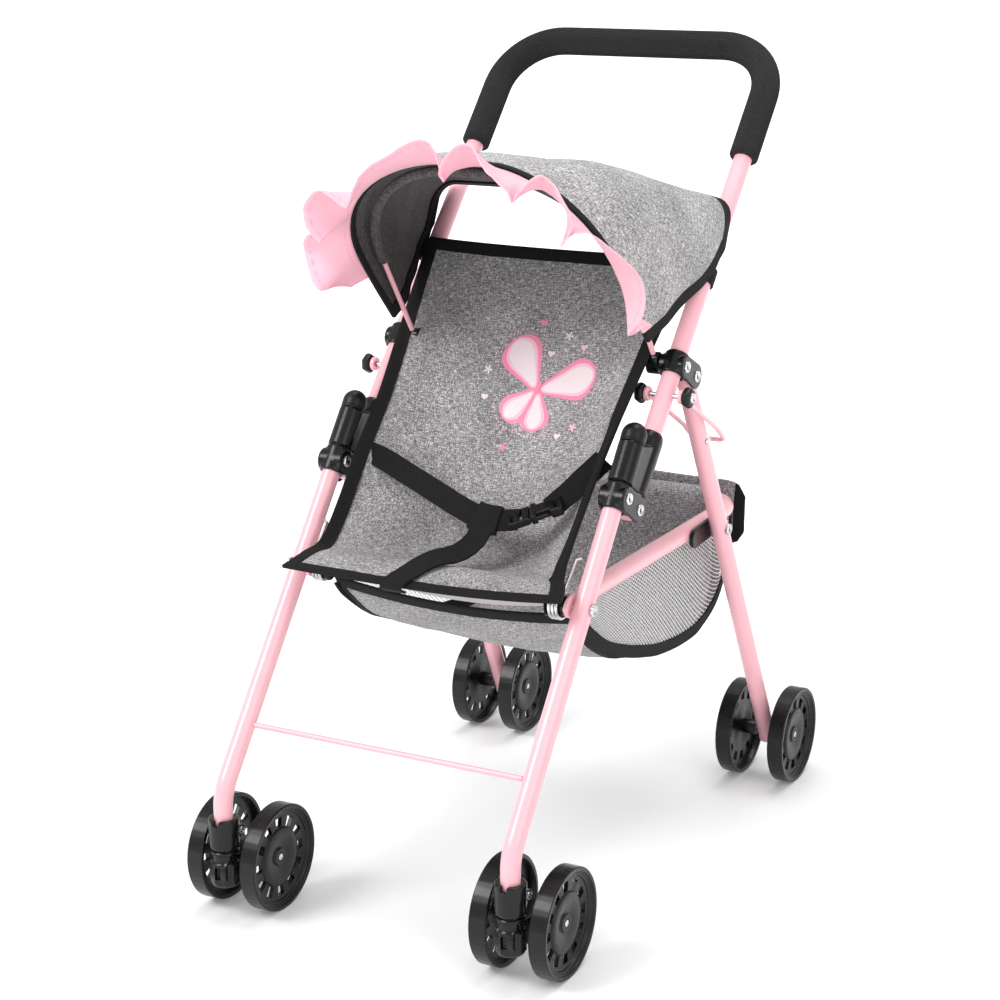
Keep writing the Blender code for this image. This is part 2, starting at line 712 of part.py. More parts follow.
HOOD_THICKNESS = 0.0016
HOOD_ROWS = (
    # half width, corner radius, foot (y, z), top (y, z)
    (0.0958, 0.082, (-0.008, 0.372), (-0.0785, 0.4845)),
    (0.1030, 0.066, (0.012, 0.368), (-0.030, 0.4850)),
    (0.1142, 0.034, (0.042, 0.380), (0.040, 0.4700)),
    (0.1146, 0.010, (0.074, 0.412), (0.0960, 0.4540)),
)


def canopy():
    """Hood from the wire arch back to the handle legs: open in front, below and behind."""
    rows = [arch(w, r, Vector(foot), Vector(top)) for w, r, foot, top in HOOD_ROWS]
    shell("canopy", rows, HOOD_THICKNESS, MELANGE)


def canopy_ruffle():
    """Gathered trim standing out from the hood's front edge."""
    width, corner, foot, top = HOOD_ROWS[0]
    rows = []
    for out, forward, lift in ((0.0020, 0.0060, 0.0), (0.0160, 0.0140, 0.006)):
        place_top = Vector(top) + Vector((-forward, out + lift))
        place_foot = Vector(foot) + Vector((-forward - 0.006, 0.012))
        rows.append(arch(width + out, corner + out, place_foot, place_top))
    shell("canopy_ruffle", rows, 0.0016, SATIN)


# ---- Seat, straps and basket -----------------------------------------------------------------------------
SEAT_THICKNESS = 0.0018
SEAT_LINES = (
    # y and z at the side bands, y and z in the middle, half width, from the top edge to the front edge
    ((0.054, 0.4120), (0.056, 0.4090), 0.0860),
    ((0.020, 0.3760), (0.038, 0.3640), 0.0850),
    ((-0.026, 0.3300), (0.008, 0.3160), 0.0815),
    ((-0.062, 0.2920), (-0.020, 0.2730), 0.0795),
    ((-0.090, 0.2620), (-0.052, 0.2445), 0.0790),
    ((-0.116, 0.2400), (-0.098, 0.2380), 0.0790),
    ((-0.152, 0.2290), (-0.152, 0.2290), 0.0900),
)


def seat_sling():
    """One cloth from the top edge down the back, through the sagging pocket and out to the front edge."""
    rows = []
    for side_place, middle, half_width in SEAT_LINES:
        row = []
        for i in range(7):
            across = -1 + i / 3
            sag = 1 - across * across
            place = Vector(side_place).lerp(Vector(middle), sag)
            row.append(at_x(half_width * across, place))
        rows.append(row)
    shell("seat_sling", rows, SEAT_THICKNESS, MELANGE)


def ribbon(name, points, facing, width_axis, width, thickness, material):
    """A flat strap along points. facing is the way its broad side looks, width_axis the way it is wide."""
    facing = Vector(facing).normalized() * thickness / 2
    across = Vector(width_axis).normalized() * width / 2
    bm = bmesh.new()
    rings = []
    for point in points:
        corners = (point - across - facing, point + across - facing, point + across + facing)
        ring = [bm.verts.new(corner) for corner in corners]
        ring.append(bm.verts.new(point - across + facing))
        rings.append(ring)
    for first, second in zip(rings, rings[1:]):
        bridge(bm, first, second)
    bm.faces.new(rings[0])
    bm.faces.new(rings[-1])
    node(name, bm, material)


BELT_END = Vector((-0.056, 0.2985))
BELT_MIDDLE = Vector((-0.086, 0.2700))
BELT_HALF = 0.0735


def straps():
    """Waist belt across the seat, its buckle, and the strap from the belt to the seat's front edge."""
    belt = []
    for i in range(9):
        across = -1 + i / 4
        if across > 0.26:
            break
        place = BELT_END.lerp(BELT_MIDDLE, 1 - across * across)
        belt.append(at_x(BELT_HALF * across, place))
    ribbon("waist_belt", belt, (0, -0.75, 0.66), (0, 0.66, 0.75), 0.019, 0.0016, WEBBING)
    ends = [Vector((0.0205, -0.0845, 0.2712)), Vector((0.0545, -0.0700, 0.2822))]
    ribbon("belt_buckle", ends, (0, -0.75, 0.66), (0, 0.66, 0.75), 0.024, 0.0060, BLACK)
    crotch = [Vector((-0.004, -0.0925, 0.2580)), Vector((-0.005, -0.114, 0.2520))]
    crotch += [Vector((-0.007, -0.136, 0.2432)), Vector((-0.009, -0.1540, 0.2350))]
    ribbon("crotch_strap", crotch, (0, -0.35, 0.94), (1, 0, 0), 0.019, 0.0016, WEBBING)


BASKET_HALF = 0.0870
BASKET_THICKNESS = 0.0018
BASKET_OUTLINE = (
    # side-view line of the cloth from its front edge under the basket to the rear crossbar
    (-0.1020, 0.2020),
    (-0.0900, 0.1880),
    (-0.0460, 0.1640),
    (0.0060, 0.1460),
    (0.0400, 0.1375),
    (0.0900, 0.1350),
    (0.1260, 0.1440),
    (0.1520, 0.1700),
    (0.1600, 0.2040),
)


def basket():
    """Cloth trough with side walls, open at the top, hanging under the rail."""
    rim_z = 0.2062
    outer = [Vector(p) for p in BASKET_OUTLINE]
    bm = bmesh.new()
    prism(bm, [tuple(p) for p in outer], -BASKET_HALF, BASKET_HALF)
    made = node("basket", bm, MESH)
    centre = Vector((0.03, 0.30))
    inner = [p + (centre - p).normalized() * 0.0024 for p in outer]
    inner[0] = Vector((inner[0].x + 0.002, rim_z + 0.01))
    inner[-1] = Vector((inner[-1].x - 0.002, rim_z + 0.01))
    bm = bmesh.new()
    wall = BASKET_HALF - BASKET_THICKNESS
    prism(bm, [tuple(p) for p in inner], -wall, wall)
    boolean(made, helper("basket_hollow", bm), "DIFFERENCE")


# ---- Assembly --------------------------------------------------------------------------------------------
def frame():
    for tag, side in SIDES:
        front_leg(tag, side)
        rear_leg(tag, side)
        hinge_block("leg_bracket", tag, side, leg_point, LEG_LEAN, BRACKET_T, FOLD_PIVOT, "bracket_hole")
        hinge_block("top_clamp", tag, side, handle_point, HANDLE_LEAN, CLAMP_T, REAR_LEG_PIVOT, "clamp_hole")
        rivet("fold_rivet", tag, side, FOLD_PIVOT, CHEEK_HALF + GAP)
        rivet("leg_rivet", tag, side, REAR_LEG_PIVOT, CHEEK_HALF + GAP)
        lock_sleeve(tag, side)
        knob_bolt(tag, side)
        wire_bail(tag, side)
        rail_pivot(tag, side)
        torsion_spring(tag, side)
        rail_spacer(tag, side)
    footrest_bar()
    handle()
    seat_rail()


frame()
running_gear()
canopy_hoop()
canopy()
canopy_ruffle()
seat_sling()
straps()
basket()
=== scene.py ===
"""Looks of the folding doll's stroller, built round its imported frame. Metres, +Z up, front towards -Y."""

import json
import math

import bmesh
import bpy
import numpy as np
from mathutils import Matrix, Vector, noise


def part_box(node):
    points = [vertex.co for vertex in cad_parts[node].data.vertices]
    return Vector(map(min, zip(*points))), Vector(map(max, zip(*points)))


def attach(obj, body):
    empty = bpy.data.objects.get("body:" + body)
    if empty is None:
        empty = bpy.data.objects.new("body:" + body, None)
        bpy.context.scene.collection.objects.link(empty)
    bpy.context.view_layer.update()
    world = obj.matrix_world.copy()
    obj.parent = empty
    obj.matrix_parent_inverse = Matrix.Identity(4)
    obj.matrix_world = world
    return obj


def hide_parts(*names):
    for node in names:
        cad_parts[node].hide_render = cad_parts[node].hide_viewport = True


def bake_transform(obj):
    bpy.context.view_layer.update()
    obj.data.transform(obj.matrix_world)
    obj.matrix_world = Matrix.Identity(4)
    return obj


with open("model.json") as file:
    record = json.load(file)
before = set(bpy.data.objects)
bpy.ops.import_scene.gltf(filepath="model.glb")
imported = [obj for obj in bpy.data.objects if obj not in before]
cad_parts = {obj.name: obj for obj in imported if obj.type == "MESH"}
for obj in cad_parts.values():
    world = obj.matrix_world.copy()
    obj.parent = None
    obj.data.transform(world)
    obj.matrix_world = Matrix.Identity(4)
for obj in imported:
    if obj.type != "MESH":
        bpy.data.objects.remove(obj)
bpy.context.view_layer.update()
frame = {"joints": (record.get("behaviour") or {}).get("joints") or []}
JOINTS = {j["name"]: j for j in frame["joints"]}
SIDES = (("L", -1), ("R", 1))


def joint_at(name):
    """A joint's place in the side view, as (y, z)."""
    return Vector(JOINTS[name]["pos_m"][1:])


# ---- The frame's own sizes ---------------------------------------------------------------------------------
HALF = JOINTS["caster_swivel_R"]["pos_m"][0]
SWIVEL_Y = JOINTS["caster_swivel_R"]["pos_m"][1]
WHEEL_R = JOINTS["caster_swivel_R"]["pos_m"][2]
REAR_Y = JOINTS["rear_wheel_R_outer_roll"]["pos_m"][1]
REAR_X = (JOINTS["rear_wheel_R_outer_roll"]["pos_m"][0] + JOINTS["rear_wheel_R_inner_roll"]["pos_m"][0]) / 2
FOLD = joint_at("handle_fold")
RAIL = joint_at("rail_fold")
TOP = joint_at("rear_leg_fold")
HOOP = joint_at("hood_fold")
KNOB = joint_at("bail_swing_R")
TUBE_R = 0.00635
LEG_LEAN = math.radians(37.05)
HANDLE_LEAN = math.radians(41.48)
HOOP_LEAN = math.radians(-34.5)
LEG_BEND_Z = 0.0874
FRONT_AXLE_Y = SWIVEL_Y + 0.030
RAIL_X = 0.0920
CROSS_Y = 0.167
HOOP_CORNER_R = 0.080
HOOP_HALF = 0.0925
HANDLE_LENGTH = 0.3709
BAIL_HALF = 0.0122
BORE_R = TUBE_R + 0.00035


def along(start, lean, t, offset=0.0):
    """Point t up a line that leans back from start, moved offset behind it, as (y, z)."""
    up = Vector((math.sin(lean), math.cos(lean)))
    behind = Vector((math.cos(lean), -math.sin(lean)))
    return Vector(start) + t * up + offset * behind


def leg_point(t, offset=0.0):
    return along((SWIVEL_Y, LEG_BEND_Z), LEG_LEAN, t, offset)


def handle_point(t, offset=0.0):
    return along(FOLD, HANDLE_LEAN, t, offset)


def hoop_point(t):
    return along(HOOP, HOOP_LEAN, t)


def at_x(x, place):
    return Vector((x, place[0], place[1]))


# ---- Materials ---------------------------------------------------------------------------------------------
class Shader:
    """A Principled material and short ways to wire nodes into it."""

    def __init__(self, name, colour, roughness, metallic=0.0, **sockets):
        self.material = bpy.data.materials.new(name)
        self.material.use_nodes = True
        self.tree = self.material.node_tree
        self.out = self.tree.nodes["Principled BSDF"]
        self.set("Base Color", (*colour, 1.0))
        self.set("Roughness", roughness)
        self.set("Metallic", metallic)
        for key, value in sockets.items():
            self.set(key.replace("_", " "), value)
        self.material.diffuse_color = (*colour, 1.0)

    def set(self, socket, value):
        self.out.inputs[socket].default_value = value

    def add(self, kind, *inputs, **settings):
        made = self.tree.nodes.new("ShaderNode" + kind)
        for key, value in settings.items():
            setattr(made, key, value)
        for i, value in enumerate(inputs):
            if value is None:
                continue
            if isinstance(value, bpy.types.NodeSocket):
                self.tree.links.new(value, made.inputs[i])
            else:
                made.inputs[i].default_value = value
        return made

    def math(self, operation, *values):
        return self.add("Math", *values, operation=operation).outputs[0]

    def coords(self, kind="UV", scale=(1, 1, 1)):
        source = self.add("TexCoord").outputs[kind]
        mapping = self.add("Mapping", source)
        mapping.inputs["Scale"].default_value = scale
        return mapping.outputs[0]

    def noise(self, vector, scale, detail=2.0, roughness=0.5):
        made = self.add("TexNoise", vector)
        made.inputs["Scale"].default_value = scale
        made.inputs["Detail"].default_value = detail
        made.inputs["Roughness"].default_value = roughness
        return made.outputs[0]

    def ramp(self, factor, *stops):
        made = self.add("ValToRGB", factor)
        while len(made.color_ramp.elements) < len(stops):
            made.color_ramp.elements.new(0.5)
        for element, (place, colour) in zip(made.color_ramp.elements, stops):
            element.position = place
            element.color = (*colour, 1.0)
        return made.outputs[0]

    def spread(self, factor, low, high):
        """factor from 0 to 1 turned into low to high."""
        return self.add("MapRange", factor, 0.0, 1.0, low, high).outputs[0]

    def plug(self, socket, value):
        self.tree.links.new(value, self.out.inputs[socket])

    def bump(self, height, distance, strength=1.0, under=None):
        made = self.add("Bump")
        made.inputs["Strength"].default_value = strength
        made.inputs["Distance"].default_value = distance
        self.tree.links.new(height, made.inputs["Height"])
        if under is not None:
            self.tree.links.new(under, made.inputs["Normal"])
        return made.outputs[0]


def thread_grid(s, uv, pitch):
    """Height of a plain weave with that pitch: over and under in turn along both directions."""
    split = s.add("SeparateXYZ", uv)
    waves = []
    for output in (split.outputs[0], split.outputs[1]):
        turns = s.math("MULTIPLY", output, math.pi / pitch)
        waves.append(s.math("SINE", turns))
    crossed = s.math("MULTIPLY", waves[0], waves[1])
    return s.spread(crossed, 0.5, 1.0)


def paint(name, colour):
    s = Shader(name, colour, 0.30, Coat_Weight=0.35, Coat_Roughness=0.12)
    where = s.coords("Object")
    mottle = s.noise(where, 35.0, 3.0)
    darker = tuple(c * 0.955 for c in colour)
    s.plug("Base Color", s.ramp(mottle, (0.3, darker), (0.7, colour)))
    s.plug("Roughness", s.spread(s.noise(where, 60.0), 0.24, 0.38))
    peel = s.noise(where, 420.0, 2.0)
    s.plug("Normal", s.bump(peel, 0.00012, 0.25))
    return s.material


def moulding(name, colour=(0.0035, 0.0035, 0.0040), rough=(0.18, 0.32), grain=0.4):
    s = Shader(name, colour, 0.3, Specular_IOR_Level=0.34)
    where = s.coords("Object")
    s.plug("Roughness", s.spread(s.noise(where, 90.0, 4.0), *rough))
    lighter = tuple(c * 1.7 for c in colour)
    s.plug("Base Color", s.ramp(s.noise(where, 55.0, 3.0), (0.4, colour), (0.8, lighter)))
    s.plug("Normal", s.bump(s.noise(where, 900.0, 3.0), 0.00010, grain))
    return s.material


def wheel_plastic():
    s = Shader("wheel_plastic", (0.0035, 0.0035, 0.0040), 0.25, Specular_IOR_Level=0.34)
    where = s.coords("Object")
    split = s.add("SeparateXYZ", where)
    angle = s.math("ARCTAN2", split.outputs[2], split.outputs[1])
    spokes = s.math("SINE", s.math("MULTIPLY", angle, 48.0))
    around = s.noise(where, 120.0, 3.0)
    s.plug("Roughness", s.spread(around, 0.20, 0.38))
    first = s.bump(spokes, 0.00006, 0.30)
    s.plug("Normal", s.bump(s.noise(where, 800.0), 0.00008, 0.35, first))
    return s.material


def foam():
    s = Shader("foam", (0.016, 0.016, 0.018), 0.80, Sheen_Weight=0.03, Specular_IOR_Level=0.25)
    where = s.coords("Object")
    cells = s.noise(where, 1400.0, 3.0)
    s.plug("Base Color", s.ramp(cells, (0.3, (0.008, 0.008, 0.009)), (0.75, (0.028, 0.028, 0.030))))
    s.plug("Normal", s.bump(cells, 0.0003, 0.45))
    return s.material


def steel():
    s = Shader("zinc_steel", (0.66, 0.67, 0.69), 0.25, 1.0)
    where = s.coords("Object")
    s.plug("Roughness", s.spread(s.noise(where, 300.0, 4.0), 0.16, 0.36))
    s.plug("Base Color", s.ramp(s.noise(where, 120.0), (0.3, (0.52, 0.53, 0.55)), (0.7, (0.74, 0.75, 0.77))))
    return s.material


def melange(name, dark, light, tint=(1.0, 0.975, 0.99)):
    """Grey cloth woven from light and dark threads, each streaky along its own direction."""
    s = Shader(name, tuple((dark + light) / 2 * c for c in tint), 0.88, Sheen_Weight=0.10)
    uv = s.coords("UV")
    warp = s.noise(s.coords("UV", (210, 1450, 1)), 1.0, 2.0, 0.7)
    weft = s.noise(s.coords("UV", (1450, 230, 1)), 1.0, 2.0, 0.7)
    slub = s.noise(s.coords("UV", (1300, 1300, 1)), 1.0, 1.0)
    mixed = s.math("MULTIPLY_ADD", warp, 0.40, s.math("MULTIPLY", weft, 0.36))
    mixed = s.math("MULTIPLY_ADD", slub, 0.24, mixed)
    cloud = s.noise(uv, 28.0, 2.0)
    mixed = s.math("MULTIPLY_ADD", s.math("SUBTRACT", cloud, 0.5), 0.08, mixed)
    weave = thread_grid(s, uv, 0.00055)
    mixed = s.math("MULTIPLY_ADD", s.math("SUBTRACT", weave, 0.75), 0.16, mixed)
    stops = [(0.39, dark * 0.55), (0.46, dark), (0.54, (dark + light) / 2), (0.61, light)]
    s.plug("Base Color", s.ramp(mixed, *((p, tuple(v * c for c in tint)) for p, v in stops)))
    first = s.bump(weave, 0.00022, 0.75)
    s.plug("Normal", s.bump(s.math("ADD", warp, weft), 0.00025, 0.45, first))
    return s.material


def twill(name, colour, pitch, strength=0.8, sheen=0.02):
    """Cloth with fine diagonal ribs."""
    s = Shader(name, colour, 0.80, Sheen_Weight=sheen, Specular_IOR_Level=0.22)
    split = s.add("SeparateXYZ", s.coords("UV"))
    diagonal = s.math("ADD", split.outputs[0], split.outputs[1])
    ribs = s.math("SINE", s.math("MULTIPLY", diagonal, 2 * math.pi / pitch))
    cross = s.math("SINE", s.math("MULTIPLY", split.outputs[0], 2 * math.pi / (pitch * 0.8)))
    height = s.math("MULTIPLY_ADD", cross, 0.35, ribs)
    lighter = tuple(min(1.0, c * 2.0 + 0.006) for c in colour)
    s.plug("Base Color", s.ramp(s.spread(height, 0.5, 0.75), (0.3, colour), (0.9, lighter)))
    s.plug("Normal", s.bump(height, 0.00028, strength))
    return s.material


def satin(name, colour):
    s = Shader(name, colour, 0.55, Sheen_Weight=0.35)
    s.set("Sheen Tint", (1.0, 0.85, 0.9, 1.0))
    uv = s.coords("UV")
    cloud = s.noise(uv, 60.0, 3.0)
    darker = tuple(c * f for c, f in zip(colour, (0.965, 0.90, 0.91)))
    s.plug("Base Color", s.ramp(cloud, (0.3, darker), (0.7, colour)))
    weave = thread_grid(s, uv, 0.00040)
    creases = s.noise(s.coords("UV", (1, 0.35, 1)), 130.0, 3.0)
    first = s.bump(creases, 0.0008, 0.35)
    s.plug("Normal", s.bump(weave, 0.00012, 0.5, first))
    return s.material


def net():
    """White knitted mesh: threads round rows of lozenge holes."""
    s = Shader("basket_net", (0.80, 0.79, 0.79), 0.7)
    pitch = 0.0034
    split = s.add("SeparateXYZ", s.coords("UV"))
    a = s.math("ADD", split.outputs[0], s.math("MULTIPLY", split.outputs[1], 0.72))
    b = s.math("SUBTRACT", split.outputs[0], s.math("MULTIPLY", split.outputs[1], 0.72))
    wave_a = s.math("ABSOLUTE", s.math("SINE", s.math("MULTIPLY", a, math.pi / pitch)))
    wave_b = s.math("ABSOLUTE", s.math("SINE", s.math("MULTIPLY", b, math.pi / pitch)))
    thin = s.math("MINIMUM", wave_a, wave_b)
    s.plug("Alpha", s.math("LESS_THAN", thin, 0.40))
    s.plug("Normal", s.bump(thin, -0.0005, 0.7))
    grey = s.ramp(thin, (0.0, (0.86, 0.85, 0.85)), (0.40, (0.62, 0.61, 0.62)))
    s.plug("Base Color", grey)
    return s.material


PINK = paint("pink_paint", (0.92, 0.475, 0.530))
BLACK = moulding("black_moulding")
KNOB_BLACK = moulding("knob_black", rough=(0.28, 0.45), grain=0.6)
WHEEL = wheel_plastic()
FOAM = foam()
STEEL = steel()
CLOTH = melange("seat_cloth", 0.20, 0.92)
HOOD_CLOTH = melange("hood_cloth", 0.22, 0.95)
# The hood's inside: the same grey cloth as the hood, made dark with painted shade.
PAINTED_SHADE_LINING = melange("hood_lining_painted_shade", 0.040, 0.17, (1.0, 0.88, 0.91))
BASKET_CLOTH = melange("basket_cloth", 0.20, 0.88)
BINDING = twill("binding", (0.0045, 0.0045, 0.005), 0.0011)
WEBBING = twill("webbing", (0.0045, 0.0045, 0.005), 0.0015, 1.0)
RUFFLE = satin("ruffle_satin", (0.93, 0.49, 0.575))
THREAD = satin("stitch_thread", (0.86, 0.40, 0.50))
DARK_THREAD = twill("dark_thread", (0.02, 0.02, 0.022), 0.0008)
WHITE_STRIP = satin("white_strip", (0.80, 0.78, 0.78))
NET = net()
PRINT_PINK = satin("print_pink", (0.90, 0.26, 0.42))
PRINT_ROSE = satin("print_rose", (0.93, 0.55, 0.66))
PRINT_PALE = satin("print_pale", (0.86, 0.76, 0.79))


# ---- Mesh building -----------------------------------------------------------------------------------------
def piece(made, body, material, *stands_for, slot=None):
    """Finishes a mesh object: its material, the body it rides on and the CAD nodes it stands for."""
    if material is not None and not made.data.materials:
        made.data.materials.append(material)
    if isinstance(body, str):
        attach(made, body)
    else:
        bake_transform(made)
    if stands_for:
        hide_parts(*stands_for)
    return made


def build(name, verts, faces, uvs=None, smooth=True, sharp=40):
    """A mesh object from points and faces. uvs gives one (u, v) per face corner, in metres."""
    mesh = bpy.data.meshes.new(name)
    mesh.from_pydata([tuple(v) for v in verts], [], faces)
    if uvs is not None:
        layer = mesh.uv_layers.new(name="UVMap")
        layer.data.foreach_set("uv", np.array(uvs, np.float32).ravel())
    mesh.validate()
    mesh.update()
    if smooth:
        mesh.shade_smooth()
        mesh.set_sharp_from_angle(angle=math.radians(sharp))
    made = bpy.data.objects.new(name, mesh)
    bpy.context.scene.collection.objects.link(made)
    return made


def outward(made):
    bm = bmesh.new()
    bm.from_mesh(made.data)
    bmesh.ops.recalc_face_normals(bm, faces=bm.faces[:])
    bm.to_mesh(made.data)
    bm.free()
    made.data.set_sharp_from_angle(angle=math.radians(40))
    return made


def circle(count):
    """Angles of count places evenly round a circle."""
    return [2 * math.pi * k / count for k in range(count)]


def lengths(points):
    """How far along a path each of its points is."""
    steps = np.linalg.norm(np.diff(points, axis=0), axis=1)
    return np.concatenate([[0.0], np.cumsum(steps)])


def cloth(name, grid):
    """An open sheet over a grid of points, its UVs measured in metres along its middle lines."""
    grid = np.array(grid, float)
    rows, columns = grid.shape[:2]
    u = lengths(grid[rows // 2])
    v = lengths(grid[:, columns // 2])
    faces, uvs = [], []
    for i in range(rows - 1):
        for j in range(columns - 1):
            corners = ((i, j), (i, j + 1), (i + 1, j + 1), (i + 1, j))
            faces.append([a * columns + b for a, b in corners])
            uvs += [(u[b], v[a]) for a, b in corners]
    return build(name, grid.reshape(-1, 3), faces, uvs, sharp=180)


def loft(name, rings):
    """A closed skin through rings of equal count."""
    rings = np.array([[tuple(p) for p in ring] for ring in rings], float)
    count, sides = rings.shape[:2]
    u = lengths(np.vstack([rings[0], rings[0][:1]]))
    v = lengths(rings.mean(axis=1))
    faces, uvs = [], []
    for i in range(count - 1):
        for j in range(sides):
            k = (j + 1) % sides
            faces.append([i * sides + j, i * sides + k, (i + 1) * sides + k, (i + 1) * sides + j])
            uvs += [(u[j], v[i]), (u[j + 1], v[i]), (u[j + 1], v[i + 1]), (u[j], v[i + 1])]
    faces.append(list(range(sides))[::-1])
    faces.append([(count - 1) * sides + j for j in range(sides)])
    uvs += [(0.0, 0.0)] * (2 * sides)
    return outward(build(name, rings.reshape(-1, 3), faces, uvs))


def frames_along(points, across):
    """Each point, with two directions square to the run and the stretch that keeps the width in a bend."""
    points = [Vector(p) for p in points]
    across = Vector(across).normalized()
    found = []
    for i, point in enumerate(points):
        before = points[max(i - 1, 0)]
        after = points[min(i + 1, len(points) - 1)]
        incoming = (point - before).normalized() if i else (after - point).normalized()
        outgoing = (after - point).normalized() if i < len(points) - 1 else incoming
        tangent = (incoming + outgoing).normalized()
        side = tangent.cross(across).normalized()
        up = side.cross(tangent).normalized()
        found.append((point, side, up, 1.0 / max(tangent.dot(incoming), 0.5)))
    return found


def tube(name, points, radius, sides=28, across=(1, 0, 0), ribs=0, rib_depth=0.0, ends=0.0):
    """A round bar along points, with fine ribs along it if asked, and its ends rounded over by ends."""
    points = [Vector(p) for p in points]
    if ends:
        first = (points[0] - points[1]).normalized()
        last = (points[-1] - points[-2]).normalized()
        points = [points[0] + first * ends] + points + [points[-1] + last * ends]
    rings = []
    for i, (point, side, up, stretch) in enumerate(frames_along(points, across)):
        size = radius - ends if i in (0, len(points) - 1) else radius
        ring = []
        for angle in circle(sides):
            r = size - (rib_depth * (0.5 - 0.5 * math.cos(ribs * angle)) if ribs else 0.0)
            ring.append(point + r * (math.cos(angle) * stretch * side + math.sin(angle) * up))
        rings.append(ring)
    return loft(name, rings)


def rounded(corners, radius, steps=12):
    """A path through corners, each inner one rounded to an arc."""
    corners = [Vector(c) for c in corners]
    path = [corners[0]]
    for before, corner, after in zip(corners, corners[1:], corners[2:]):
        a = (before - corner).normalized()
        b = (after - corner).normalized()
        half = a.angle(b) / 2
        reach = radius / math.tan(half)
        centre = corner + (a + b).normalized() * radius / math.sin(half)
        start = corner + a * reach - centre
        end = corner + b * reach - centre
        for i in range(steps + 1):
            path.append(centre + radius * start.slerp(end, i / steps).normalized())
    path.append(corners[-1])
    return path


def smooth_path(knots, count):
    """A Catmull-Rom curve through knots, evenly spaced, as an array of count rows."""
    knots = np.array(knots, float)
    padded = np.vstack([2 * knots[0] - knots[1], knots, 2 * knots[-1] - knots[-2]])
    fine = []
    for i in range(1, len(padded) - 2):
        p0, p1, p2, p3 = padded[i - 1 : i + 3]
        for t in np.linspace(0, 1, 24, endpoint=False):
            fine.append(
                0.5 * (2 * p1 + (p2 - p0) * t + (2 * p0 - 5 * p1 + 4 * p2 - p3) * t**2
                       + (3 * p1 - p0 - 3 * p2 + p3) * t**3)
            )
    return evenly(fine + [padded[-2]], count)


def evenly(points, count):
    """count places evenly spaced along a path, as an array."""
    points = np.array([tuple(p) for p in points], float)
    far = lengths(points)
    want = np.linspace(0, far[-1], count)
    return np.stack([np.interp(want, far, points[:, k]) for k in range(points.shape[1])], axis=1)


def frame_matrix(origin, axis):
    turn = Vector((0, 0, 1)).rotation_difference(Vector(axis)).to_matrix().to_4x4()
    return Matrix.Translation(origin) @ turn


def turned(name, profile, matrix, segments=48, closed=False):
    """A profile of (radius, along) turned round an axis."""
    verts, faces, rings = [], [], []
    for radius, height in profile:
        if radius == 0:
            rings.append([len(verts)])
            verts.append(matrix @ Vector((0, 0, height)))
            continue
        rings.append(list(range(len(verts), len(verts) + segments)))
        for angle in circle(segments):
            verts.append(matrix @ Vector((radius * math.cos(angle), radius * math.sin(angle), height)))
    pairs = list(zip(rings, rings[1:]))
    if closed:
        pairs.append((rings[-1], rings[0]))
    for first, second in pairs:
        for k in range(segments):
            j = (k + 1) % segments
            if len(first) == 1:
                faces.append([first[0], second[k], second[j]])
            elif len(second) == 1:
                faces.append([second[0], first[j], first[k]])
            else:
                faces.append([first[k], first[j], second[j], second[k]])
    return outward(build(name, verts, faces))


def block(name, low, high):
    """A closed solid between two rings of equal count."""
    count = len(low)
    faces = [[i, (i + 1) % count, count + (i + 1) % count, count + i] for i in range(count)]
    faces += [list(range(count))[::-1], [count + i for i in range(count)]]
    return outward(build(name, low + high, faces))


def prism(name, outline, x_low, x_high):
    """A side-view outline of (y, z) extruded along X."""
    return block(name, [(x_low, y, z) for y, z in outline], [(x_high, y, z) for y, z in outline])


def capsule(start, end, start_r, end_r, steps=14):
    """Outline of two circles joined by straight sides, as side-view points."""
    axis = end - start
    facing = math.atan2(axis.y, axis.x)
    lean = math.acos(max(-1.0, min(1.0, (start_r - end_r) / axis.length)))
    outline = []
    for centre, radius, first, last in (
        (end, end_r, facing - lean, facing + lean),
        (start, start_r, facing + lean, facing + 2 * math.pi - lean),
    ):
        for i in range(steps + 1):
            angle = first + (last - first) * i / steps
            outline.append((centre.x + radius * math.cos(angle), centre.y + radius * math.sin(angle)))
    return outline


def only(made):
    """Applies an object's modifiers to its mesh."""
    graph = bpy.context.evaluated_depsgraph_get()
    mesh = bpy.data.meshes.new_from_object(made.evaluated_get(graph))
    made.modifiers.clear()
    made.data = mesh
    return made


def thicken(made, thickness, offset=0.0):
    """Gives an open sheet its thickness, to both sides of it unless offset says otherwise."""
    solid = made.modifiers.new("thickness", "SOLIDIFY")
    solid.thickness = thickness
    solid.offset = offset
    return solid


def fused(name, adds, cuts=(), voxel=0.0006, rounds=3):
    """One moulded piece: shapes joined, others cut away, and every edge softened as a mould leaves it."""
    base = adds[0]
    for other, operation in [(o, "UNION") for o in adds[1:]] + [(o, "DIFFERENCE") for o in cuts]:
        modifier = base.modifiers.new("shape", "BOOLEAN")
        modifier.operation = operation
        modifier.object = other
    only(base)
    modifier = base.modifiers.new("skin", "REMESH")
    modifier.mode = "VOXEL"
    modifier.voxel_size = voxel
    modifier = base.modifiers.new("soften", "SMOOTH")
    modifier.factor = 0.5
    modifier.iterations = rounds
    only(base)
    for other in list(adds[1:]) + list(cuts):
        bpy.data.objects.remove(other)
    base.name = name
    base.data.materials.clear()
    base.data.shade_smooth()
    return base


def rod(radius, start, end, edge=0.0):
    """Profile of a cylinder with softened edges."""
    if not edge:
        return [(0, start), (radius, start), (radius, end), (0, end)]
    return [(0, start), (radius - edge, start), (radius, start + edge), (radius, end - edge),
            (radius - edge, end), (0, end)]


def lateral(x, place):
    return frame_matrix((x, place[0], place[1]), (1, 0, 0))


